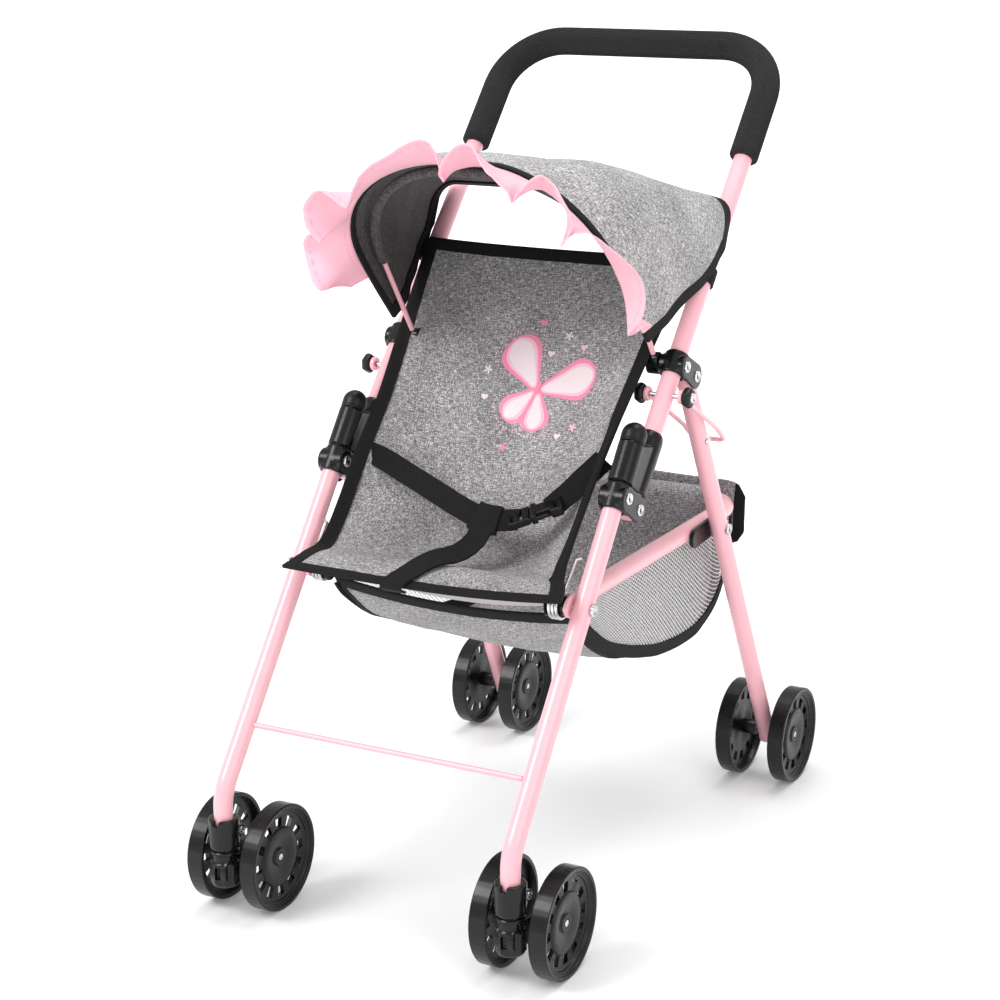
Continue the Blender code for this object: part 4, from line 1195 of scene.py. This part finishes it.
def print_place(a, b, lift, turn=PRINT_TURN):
    """Turns flat print coordinates in metres, a to the right and b up, into a place on the seat."""
    c, s = math.cos(turn), math.sin(turn)
    right, rise = a * c - b * s, a * s + b * c
    return seat_point(PRINT_AT[0] + right / 0.096, PRINT_AT[1] - rise / 0.305, lift)


def blob(name, centre, outline, material, lift, turn=PRINT_TURN):
    """A printed patch, star-shaped round its centre."""
    verts, faces = [print_place(*centre, lift, turn)], []
    count = len(outline)
    shares = (0.35, 0.7, 1.0)
    for share in shares:
        for a, b in outline:
            verts.append(print_place(centre[0] + (a - centre[0]) * share, centre[1] + (b - centre[1]) * share,
                                     lift, turn))
    for k in range(count):
        j = (k + 1) % count
        faces.append([0, 1 + k, 1 + j])
        for ring in range(len(shares) - 1):
            a, b = 1 + ring * count, 1 + (ring + 1) * count
            faces.append([a + k, b + k, b + j, a + j])
    made = build(name, verts, faces, sharp=180)
    return piece(made, SEAT_BLEND, material)


def wing(root, tip_angle, length, width, inset=0.0):
    """Outline of a rounded wing from root towards tip_angle."""
    points = []
    for t in circle(40):
        far = length * (0.5 - 0.5 * math.cos(t))
        half = width * math.sin(t) * (0.42 + 0.78 * (far / length)) * (1.0 + 0.10 * math.cos(3 * t))
        far = inset + far * (1 - 1.7 * inset / length)
        half *= 1 - 1.9 * inset / width
        a = root[0] + far * math.cos(tip_angle) - half * math.sin(tip_angle)
        b = root[1] + far * math.sin(tip_angle) + half * math.cos(tip_angle)
        points.append((a, b))
    centre = (root[0] + 0.58 * length * math.cos(tip_angle), root[1] + 0.58 * length * math.sin(tip_angle))
    return centre, points


def butterfly():
    count = dots = 0
    for mirror in (-1, 1):
        for angle, length, width in ((38, 0.0450, 0.0165), (-66, 0.0320, 0.0120)):
            direction = math.radians(angle if mirror == 1 else 180 - angle)
            root = (0.0012 * mirror, 0.0)
            layers = ((0.0, PRINT_PINK, 0.00075), (0.0020, PRINT_ROSE, 0.00085),
                      (0.0034, PRINT_PALE, 0.00095))
            for inset, material, lift in layers:
                centre, outline = wing(root, direction, length, width, inset)
                blob(f"print_wing_{count}", centre, outline, material, lift)
                count += 1
            for a, b in wing(root, direction, length + 0.004, width + 0.004)[1][9:32]:
                dot = [(a + 0.0006 * math.cos(t), b + 0.0006 * math.sin(t)) for t in circle(8)]
                blob(f"print_dot_{dots}", (a, b), dot, PRINT_ROSE, 0.0008)
                dots += 1
    body = [(0.0012 * math.cos(t), -0.002 + 0.0100 * math.sin(t)) for t in circle(24)]
    blob("print_body", (0, -0.002), body, PRINT_PINK, 0.00105)
    around = ((-7, 50, PRINT_PINK), (14, 42, PRINT_PALE), (4, 28, PRINT_PALE), (28, 34, PRINT_ROSE),
              (-42, 12, PRINT_PALE),
              (-40, -9, PRINT_PALE), (-17, -44, PRINT_PINK), (37, -27, PRINT_ROSE), (26, -34, PRINT_PALE))
    for k, (a, b, colour) in enumerate(around):
        a, b = a / 1000, b / 1000
        shape = flower(a, b, 0.0036) if k in (1, 4, 6, 7) else heart(a, b, 0.0027)
        blob(f"print_spot_{k}", (a, b), shape, colour, 0.0008, 0.0)


def heart(a, b, size):
    points = []
    for t in circle(28):
        rise = 13 * math.cos(t) - 5 * math.cos(2 * t) - 2 * math.cos(3 * t) - math.cos(4 * t)
        points.append((a + size * math.sin(t) ** 3, b + size * rise / 16))
    return points


def flower(a, b, size):
    points = []
    for t in circle(40):
        far = size * (0.62 + 0.38 * math.cos(5 * t))
        points.append((a + far * math.cos(t), b + far * math.sin(t)))
    return points


# ---- Straps ------------------------------------------------------------------------------------------------
def straps():
    facing = (0, -0.75, 0.66)
    wide = 0.0155
    path = smooth_path([(-0.0950, -0.0600, 0.2850), (-0.0800, -0.0570, 0.2815), (-0.0400, -0.0700, 0.2715),
                        (0.0080, -0.0870, 0.2600),
                        (0.0280, -0.0900, 0.2580), (0.0450, -0.0880, 0.2600)], 44)
    belt = ribbon("belt_webbing", path, facing, wide, 0.0016, 0.0010, 1.0)
    piece(belt, "front_frame", WEBBING, "waist_belt", slot="black_webbing")
    path = smooth_path([(0.0640, -0.0800, 0.2680), (0.0710, -0.0700, 0.2760), (0.0780, -0.0560, 0.2860),
                        (0.0850, -0.0450, 0.2950)], 22)
    tail = ribbon("belt_webbing_short", path, [Vector((0.35, -0.75, 0.66))] * 22, wide, 0.0018, 0.0008, 2.0)
    piece(tail, "front_frame", WEBBING, slot="black_webbing")
    loop = smooth_path([(0.0130, -0.0885, 0.2590), (0.0230, -0.0905, 0.2580), (0.0320, -0.0905, 0.2580)], 10)
    made = ribbon("belt_loop", loop, facing, 0.0200, 0.0044)
    piece(made, "front_frame", WEBBING)
    path = smooth_path([(0.0225, -0.0960, 0.2540), (0.0200, -0.1030, 0.2460), (0.0140, -0.1130, 0.2400),
                        (0.0040, -0.1290, 0.2385),
                        (-0.0050, -0.1460, 0.2325), (-0.0090, -0.1565, 0.2285), (-0.0095, -0.1585, 0.2250),
                        (-0.0095, -0.1535, 0.2220)], 44)
    looks = []
    for i in range(44):
        share = i / 43
        turn = min(1.0, max(0.0, (share - 0.84) / 0.16))
        looks.append(Vector((0, -0.75 + 0.45 * share, 0.66 + 0.3 * share)).lerp(Vector((0, -1.0, -0.5)),
                turn))
    crotch = ribbon("crotch_webbing", path, looks, 0.0165, 0.0016, 0.0006, 3.0)
    piece(crotch, "front_frame", WEBBING, "crotch_strap", slot="black_webbing")
    buckle(Vector((0.0440, -0.0885, 0.2600)), Vector((0.0660, -0.0790, 0.2690)), Vector((0.20, -0.15, 0.95)))


def buckle(start, end, look):
    """Side-release buckle: a socket with two windows, and a plug whose prongs show in them."""
    run = (end - start).normalized()
    side = run.cross(look).normalized()
    look = side.cross(run).normalized()
    turn = Matrix((run, side, look)).transposed().to_4x4()
    middle = Matrix.Translation((start + end) / 2) @ turn

    def slab(name, outline, low, high):
        """An outline in the buckle's plane, extruded from low to high. narrow fits it to the belt."""
        narrow = 0.76
        rings = [[middle @ Vector((a, b * narrow, level)) for a, b in outline] for level in (low, high)]
        return block(name, *rings)

    socket = slab("socket",
                  [(-0.0030, -0.0115), (0.0170, -0.0120), (0.0190, -0.0105), (0.0190, 0.0105),
                   (0.0170, 0.0120), (-0.0030, 0.0115)], -0.0030, 0.0034)
    windows = [slab("window",
                    [(0.0010, s * 0.0072), (0.0105, s * 0.0072), (0.0105, s * 0.0135), (0.0010, s * 0.0135)],
                    -0.006, 0.006) for s in (-1, 1)]
    slit = slab("slit", [(0.0135, -0.0085), (0.0158, -0.0085), (0.0158, 0.0085), (0.0135, 0.0085)], -0.006,
                0.006)
    made = fused("buckle_socket", [socket], [*windows, slit])
    piece(made, "front_frame", KNOB_BLACK, "belt_buckle", slot="black_plastic")
    plug = slab("plug", [(-0.0185, -0.0108), (-0.0040, -0.0108), (-0.0040, 0.0108), (-0.0185, 0.0108)],
                -0.0026, 0.0028)
    prongs = [slab("prong",
                   [(-0.0060, s * 0.0045), (0.0085, s * 0.0078), (0.0092, s * 0.0112), (0.0030, s * 0.0122),
                    (-0.0060, s * 0.0100)], -0.0014, 0.0016) for s in (-1, 1)]
    tongue = slab("tongue", [(-0.0060, -0.0020), (0.0070, -0.0020), (0.0070, 0.0020), (-0.0060, 0.0020)],
                  -0.0012, 0.0014)
    slits = [slab("slit", [(a, -0.0082), (a + 0.0022, -0.0082), (a + 0.0022, 0.0082), (a, 0.0082)], -0.006,
                  0.006) for a in (-0.0165, -0.0110)]
    made = fused("buckle_plug", [plug, *prongs, tongue], slits)
    piece(made, "front_frame", KNOB_BLACK)


# ---- Hood --------------------------------------------------------------------------------------------------
HOOD_BLEND = ("handle", "hoop", (0, 0.060, 0.440), (0, -0.055, 0.450))
HOOD_KNOTS = (
    # half width, corner radius, foot y, z, top y, z, from the front edge back
    (0.0965, 0.0820, -0.0050, 0.3670, -0.0775, 0.4850),
    (0.0995, 0.0740, 0.0160, 0.3760, -0.0440, 0.4860),
    (0.1050, 0.0600, 0.0350, 0.3880, -0.0040, 0.4790),
    (0.1115, 0.0420, 0.0570, 0.4000, 0.0370, 0.4665),
    (0.1140, 0.0260, 0.0740, 0.4150, 0.0710, 0.4560),
    (0.1135, 0.0130, 0.0800, 0.4200, 0.0920, 0.4490),
)
HOOD_ROWS = smooth_path(HOOD_KNOTS, 61)
HOOD_COLUMNS = 121


def hood_arch(row):
    width, corner, foot_y, foot_z, top_y, top_z = (float(v) for v in row)
    foot, top = Vector((foot_y, foot_z)), Vector((top_y, top_z))
    height = (top - foot).length
    corner = min(corner, height * 0.92)
    corners = [at_x(-width, foot), at_x(-width, top), at_x(width, top), at_x(width, foot)]
    return evenly(rounded(corners, corner, 14), HOOD_COLUMNS)


def hood_grid():
    grid = []
    for j, row in enumerate(HOOD_ROWS):
        back = j / (len(HOOD_ROWS) - 1)
        arch = hood_arch(row)
        line = []
        for i, point in enumerate(arch):
            across = -1 + 2 * i / (HOOD_COLUMNS - 1)
            centre = Vector((0, point[1], 0.40))
            out = Vector(point) - centre
            out.y = 0
            out.normalize()
            middle = math.sin(math.pi * back)
            crown = 1 - across * across
            puff = 0.0015 * middle * crown
            soft = noise.noise(Vector((across * 4.0, back * 3.0, 1.0))) * 0.0022
            soft += noise.noise(Vector((across * 9.0, back * 7.0, 5.0))) * 0.0010
            fold = 0.0010 * math.sin(across * 21 + back * 5) * math.exp(-((back - 0.12) / 0.14) ** 2)
            from_foot = min(i, HOOD_COLUMNS - 1 - i) / (HOOD_COLUMNS - 1)
            bulge = 0.017 * max(0.0, 1 - back / 0.28) ** 1.5 * math.sin(math.pi * min(1.0, from_foot / 0.44))
            shift = out * (puff + (soft + fold) * min(1.0, 5 * back, 6 * (1 - back))) + Vector((0, -bulge, 0))
            line.append(Vector(point) + shift)
        grid.append(line)
    return grid


def hood():
    grid = hood_grid()
    made = cloth("hood_cloth", grid)
    # The sheet's own faces take the lining, the grey cloth darkened with painted shade, and the ones that the
    # thickness adds take the grey cloth.
    made.data.materials.append(PAINTED_SHADE_LINING)
    made.data.materials.append(HOOD_CLOTH)
    if made.data.polygons[len(made.data.polygons) // 2].normal.z < 0:
        made.data.flip_normals()
    thicken(made, 0.0012, -1.0).material_offset = 1
    only(made)
    piece(made, HOOD_BLEND, None, "canopy", slot="grey_fabric")
    edges = (("rear", "last", 10, 0.0085), ("front", "first", 6, 0.0040),
             ("left", "left", 16, 0.0085), ("right", "right", 16, 0.0085))
    trims = bound("hood_binding", grid, edges, 0.0014, HOOD_BLEND, "black_webbing")
    ruffle(grid)
    for tag, side in SIDES:
        hood_tab(tag, side)
        hood_eyelet(grid, tag, side)


def hood_eyelet(grid, tag, side):
    """Black eyelet on the hood's roof, near its rear corner."""
    row = round(len(grid) * 0.80)
    column = round((HOOD_COLUMNS - 1) * (0.5 + side * 0.24))
    across = grid[row][column + 1] - grid[row][column - 1]
    normal = across.cross(grid[row + 1][column] - grid[row - 1][column])
    normal = normal.normalized() * (1 if normal.z > 0 else -1)
    profile = [(0, 0.0004), (0.0018, 0.0004), (0.0026, 0.0016), (0.0040, 0.0012), (0.0046, 0.0)]
    eyelet = turned(f"hood_eyelet_{tag}", profile, frame_matrix(grid[row][column], normal), 32)
    piece(eyelet, HOOD_BLEND, BINDING)


def ruffle(grid):
    """A gathered strip sewn along the hood's front edge, its free edge waving."""
    edge = evenly(grid[0], 600)
    base = evenly(edge[66:566], 421)
    forward = Vector((0, -math.cos(HOOP_LEAN), math.sin(HOOP_LEAN)))
    far = lengths(base)
    total = far[-1]
    rows = 17
    lines = [[] for _ in range(rows)]
    for i in range(len(base)):
        point = Vector(base[i])
        ahead = Vector(base[min(i + 1, len(base) - 1)] - base[max(i - 1, 0)]).normalized()
        out = ahead.cross(forward).normalized()
        if out.dot(point - Vector((0, point.y, 0.42))) < 0:
            out = -out
        place = far[i] / total
        ends = min(1.0, place / 0.06, (1 - place) / 0.06)
        swing = noise.noise(Vector((place * 6.0, 2.0, 0.0)))
        phase = 2 * math.pi * (far[i] / 0.0500 + 0.60 * swing) + 0.6
        wave = math.sin(phase) + 0.22 * math.sin(2.3 * phase + 1.0)
        width = (0.0340 + 0.0030 * math.sin(phase * 0.5 + 1.2)) * (0.40 + 0.60 * ends)
        tilt = math.radians(50 + 12 * swing)
        fall = out * math.cos(tilt) + forward * math.sin(tilt)
        across_fall = forward * math.cos(tilt) - out * math.sin(tilt)
        for j in range(rows):
            share = j / (rows - 1)
            deep = 0.0120 * wave * share ** 1.15 * ends
            slide = 0.0075 * math.sin(phase + 1.3) * share ** 1.3 * ends
            spot = point + fall * (width * share * (1 - 0.08 * abs(wave) * share))
            spot += across_fall * deep + ahead * slide + forward * 0.0016
            lines[j].append(spot)
    made = cloth("ruffle_cloth", lines)
    thicken(made, 0.0007)
    only(made)
    piece(made, "hoop", RUFFLE, "canopy_ruffle", slot="pink_satin")
    for word, j in (("hem", rows - 3), ("gather", 2)):
        verts, faces = [], []
        for i in range(0, len(base) - 3, 4):
            for k in (i, i + 2):
                inner, outer = Vector(lines[j][k]), Vector(lines[j + 1][k])
                along_edge = Vector(lines[j][k + 1]) - inner
                lift = along_edge.cross(outer - inner).normalized() * 0.0006
                step = (outer - inner).normalized() * 0.00035
                verts += [inner - step + lift, inner + step + lift, inner - step - lift, inner + step - lift]
            b = len(verts) - 8
            faces += [[b, b + 1, b + 5, b + 4], [b + 2, b + 6, b + 7, b + 3]]
        piece(build(f"ruffle_stitch_{word}", verts, faces), "hoop", THREAD)


def hood_tab(tag, side):
    """Black strap that holds the hood's lower rear corner round the handle tube."""
    centre = at_x(side * HALF, handle_point(0.178))
    up = Vector((0, math.sin(HANDLE_LEAN), math.cos(HANDLE_LEAN)))
    behind = Vector((0, math.cos(HANDLE_LEAN), -math.sin(HANDLE_LEAN)))
    rings = []
    for k in range(29):
        angle = math.radians(-80 + 340 * k / 28)
        out = Vector((side, 0, 0)) * math.cos(angle) + behind * math.sin(angle)
        rings.append([centre + out * r + up * h for r,
                      h in ((0.0067, -0.006), (0.0080, -0.0058), (0.0080, 0.0058), (0.0067, 0.006))])
    piece(loft(f"hood_strap_{tag}", rings), "handle", WEBBING)


# ---- Basket ------------------------------------------------------------------------------------------------
BASKET_HALF = 0.0895
BASKET_PATH = smooth_path(
    [(-0.0975, 0.2005), (-0.0880, 0.1900), (-0.0560, 0.1680), (-0.0200, 0.1535), (0.0100, 0.1445),
     (0.0360, 0.1385), (0.0750, 0.1345),
     (0.1060, 0.1365), (0.1350, 0.1480), (0.1520, 0.1690), (0.1582, 0.1950), (0.1588, 0.2150)], 91)
SIDE_RAIL_Z = RAIL.y - TUBE_R - 0.0004


def basket():
    wrap = []
    for k in range(12):
        angle = math.pi - math.pi * k / 11
        wrap.append((CROSS_Y + 0.0080 * math.cos(angle), RAIL.y + 0.0080 * math.sin(angle)))
    tail = [(CROSS_Y + 0.0082, RAIL.y - 0.008), (CROSS_Y + 0.0080, RAIL.y - 0.0180),
            (CROSS_Y + 0.0076, RAIL.y - 0.0300)]
    line = evenly([tuple(p) for p in BASKET_PATH] + wrap + tail, 131)
    grid = []
    for j, (y, z) in enumerate(line):
        down = j / (len(line) - 1)
        row = []
        for i in range(45):
            across = -1 + 2 * i / 44
            half = BASKET_HALF - 0.024 * max(0.0, (down - 0.60) / 0.40) ** 1.5
            loose = math.sin(math.pi * min(1.0, down / 0.72)) if down < 0.72 else 0.0
            sag = 0.0075 * (1 - across * across) * loose
            sag += (1 - across * across) * 0.0070 * max(0.0, 1 - down / 0.12) - 0.0045 * max(0.0,
                    1 - down / 0.10)
            soft = noise.noise(Vector((across * 3.0, down * 8.0, 9.0))) * 0.0030 * loose
            soft += noise.noise(Vector((across * 8.0, down * 19.0, 4.0))) * 0.0010 * loose
            row.append(Vector((half * across, y, z - sag + soft)))
        grid.append(row)
    made = cloth("basket_cloth", grid)
    thicken(made, 0.0010)
    only(made)
    piece(made, "rail", BASKET_CLOTH, "basket", slot="basket_fabric")
    edges = (("front", "first", 6, 0.0080), ("rear", "last", 6, 0.0080),
             ("left", "left", 5, 0.0050), ("right", "right", 5, 0.0050))
    trims = bound("basket_binding", grid, edges, 0.0011, "rail")
    trims.append(basket_lining())
    for tag, side in SIDES:
        trims += side_net(tag, side)
    trims += rear_flap()


def basket_lining():
    """Pale strip inside the basket's front edge."""
    lines = []
    for i in range(45):
        across = -1 + 2 * i / 44
        base = Vector((0.081 * across, -0.0945, 0.2095))
        drop = 0.0085 * (1 - across * across)
        shape = ((0, 0, 1), (0.004, 0.0060, 0.4), (0.010, 0.0105, 0.1))
        lines.append([base + Vector((0, back, up - drop * share)) for back, up, share in shape])
    return piece(cloth("basket_lining_strip", lines), "rail", WHITE_STRIP)


def rear_flap():
    """Cloth hanging behind the cross tube, bound in black, wider than the wrap over the tube."""
    grid = []
    for j in range(25):
        down = j / 24
        row = []
        for i in range(41):
            across = -1 + 2 * i / 40
            round_off = 0.010 * (1 - math.sqrt(max(0.0, 1 - max(0.0, (abs(across) - 0.85) / 0.15) ** 2)))
            z = 0.2300 - round_off + (0.1830 - 0.2300 + 2 * round_off) * down
            y = 0.1762 - 0.0016 * math.sin(math.pi * down) - 0.0035 * max(0.0, abs(across) - 0.7) / 0.3
            row.append(Vector((0.0960 * across, y + 0.0008 * math.sin(across * 9 + down * 3), z)))
        grid.append(row)
    made = cloth("basket_flap", grid)
    thicken(made, 0.0010, -1.0)
    only(made)
    pieces = [piece(made, "rail", BASKET_CLOTH, slot="basket_fabric")]
    edges = (("low", "last", 8, 0.0080), ("left", "left", 5, 0.0080), ("right", "right", 5, 0.0080))
    return pieces + bound("flap_binding", grid, edges, 0.0012, "rail")


def side_net(tag, side):
    """Net panel from the rail down to the basket's lower edge, with black tape along that edge."""
    line = evenly([tuple(p) for p in BASKET_PATH], 61)
    grid = []
    for j, (y, z) in enumerate(line):
        share = j / (len(line) - 1)
        top = min(SIDE_RAIL_Z, z + 0.090)
        top_y = min(max(y, RAIL.x + 0.020), 0.158)
        if j < 6:
            top = z + (SIDE_RAIL_Z - z) * j / 6
        row = []
        for i in range(15):
            up = i / 14
            bulge = 0.0030 * math.sin(math.pi * up) * math.sin(math.pi * share)
            x = side * (BASKET_HALF + 0.0006 + bulge + 0.0008 * up)
            row.append(Vector((x, y + (top_y - y) * up, z + (top - z) * up)))
        grid.append(row)
    made = cloth(f"basket_net_{tag}", grid)
    piece(made, "rail", NET, slot="basket_fabric")
    low = edge_tape(f"net_tape_{tag}", grid, 0.0080, 0.0012)
    rear = edge_tape(f"net_rear_tape_{tag}", from_edge(grid, "last", 8), 0.0070, 0.0012)
    return [made, piece(low, "rail", BINDING), piece(rear, "rail", BINDING)]


# ---- Room, light and camera --------------------------------------------------------------------------------
def room():
    s = Shader("floor_white", (0.90, 0.905, 0.915), 0.55)
    where = s.coords("Object")
    s.plug("Roughness", s.spread(s.noise(where, 3.0), 0.45, 0.6))
    # Painted light: the floor glows white, faintly under the stroller and more the further out, so it fades
    # into the white backdrop.
    reach = s.add("VectorMath", where, operation="LENGTH").outputs["Value"]
    s.set("Emission Color", (1.0, 1.0, 1.0, 1.0))
    s.plug("Emission Strength", s.add("MapRange", reach, 0.30, 1.8, 0.12, 0.80).outputs[0])
    size = 300.0
    made = build("floor", [(-size, -size, 0), (size, -size, 0), (size, size, 0), (-size, size, 0)],
                 [[0, 1, 2, 3]], smooth=False)
    made.data.materials.append(s.material)
    world = bpy.data.worlds.new("studio")
    bpy.context.scene.world = world
    world.use_nodes = True
    world.node_tree.nodes["Background"].inputs[0].default_value = (1.0, 1.0, 1.0, 1.0)
    world.node_tree.nodes["Background"].inputs[1].default_value = 0.72
    for name, place, size, power in (
        ("key", (-1.1, -1.6, 1.9), 1.0, 36.0),
        ("fill", (1.7, -0.9, 1.2), 1.2, 8.0),
        ("top", (0.1, 0.5, 2.2), 1.2, 20.0),
    ):
        light = bpy.data.lights.new(name, "AREA")
        light.size = size
        light.energy = power
        made = bpy.data.objects.new(name, light)
        made.location = place
        made.rotation_mode = "QUATERNION"
        made.rotation_quaternion = (Vector((0, 0, 0.25)) - Vector(place)).to_track_quat("-Z", "Y")
        bpy.context.scene.collection.objects.link(made)
    bpy.context.scene.view_settings.view_transform = "Standard"


def camera():
    data = bpy.data.cameras.new("camera")
    data.sensor_width = 36.0
    data.lens = 80.06
    made = bpy.data.objects.new("camera", data)
    place = (0.6900, -1.3088, 0.6468)
    yaw, pitch, roll = 0.4948, 0.2643, -0.0034
    ahead = Vector((-math.sin(yaw) * math.cos(pitch), math.cos(yaw) * math.cos(pitch), -math.sin(pitch)))
    right = ahead.cross(Vector((0, 0, 1))).normalized()
    up = right.cross(ahead)
    turned_right = right * math.cos(roll) + up * math.sin(roll)
    turned_up = up * math.cos(roll) - right * math.sin(roll)
    turn = Matrix((turned_right, turned_up, -ahead)).transposed().to_4x4()
    made.matrix_world = Matrix.Translation(place) @ turn
    bpy.context.scene.collection.objects.link(made)
    bpy.context.scene.camera = made


camera()
room()
painted_frame()
rail()
wires()
rivets()
joints_of_frame()
running_gear()
seat()
butterfly()
straps()
hood()
basket()
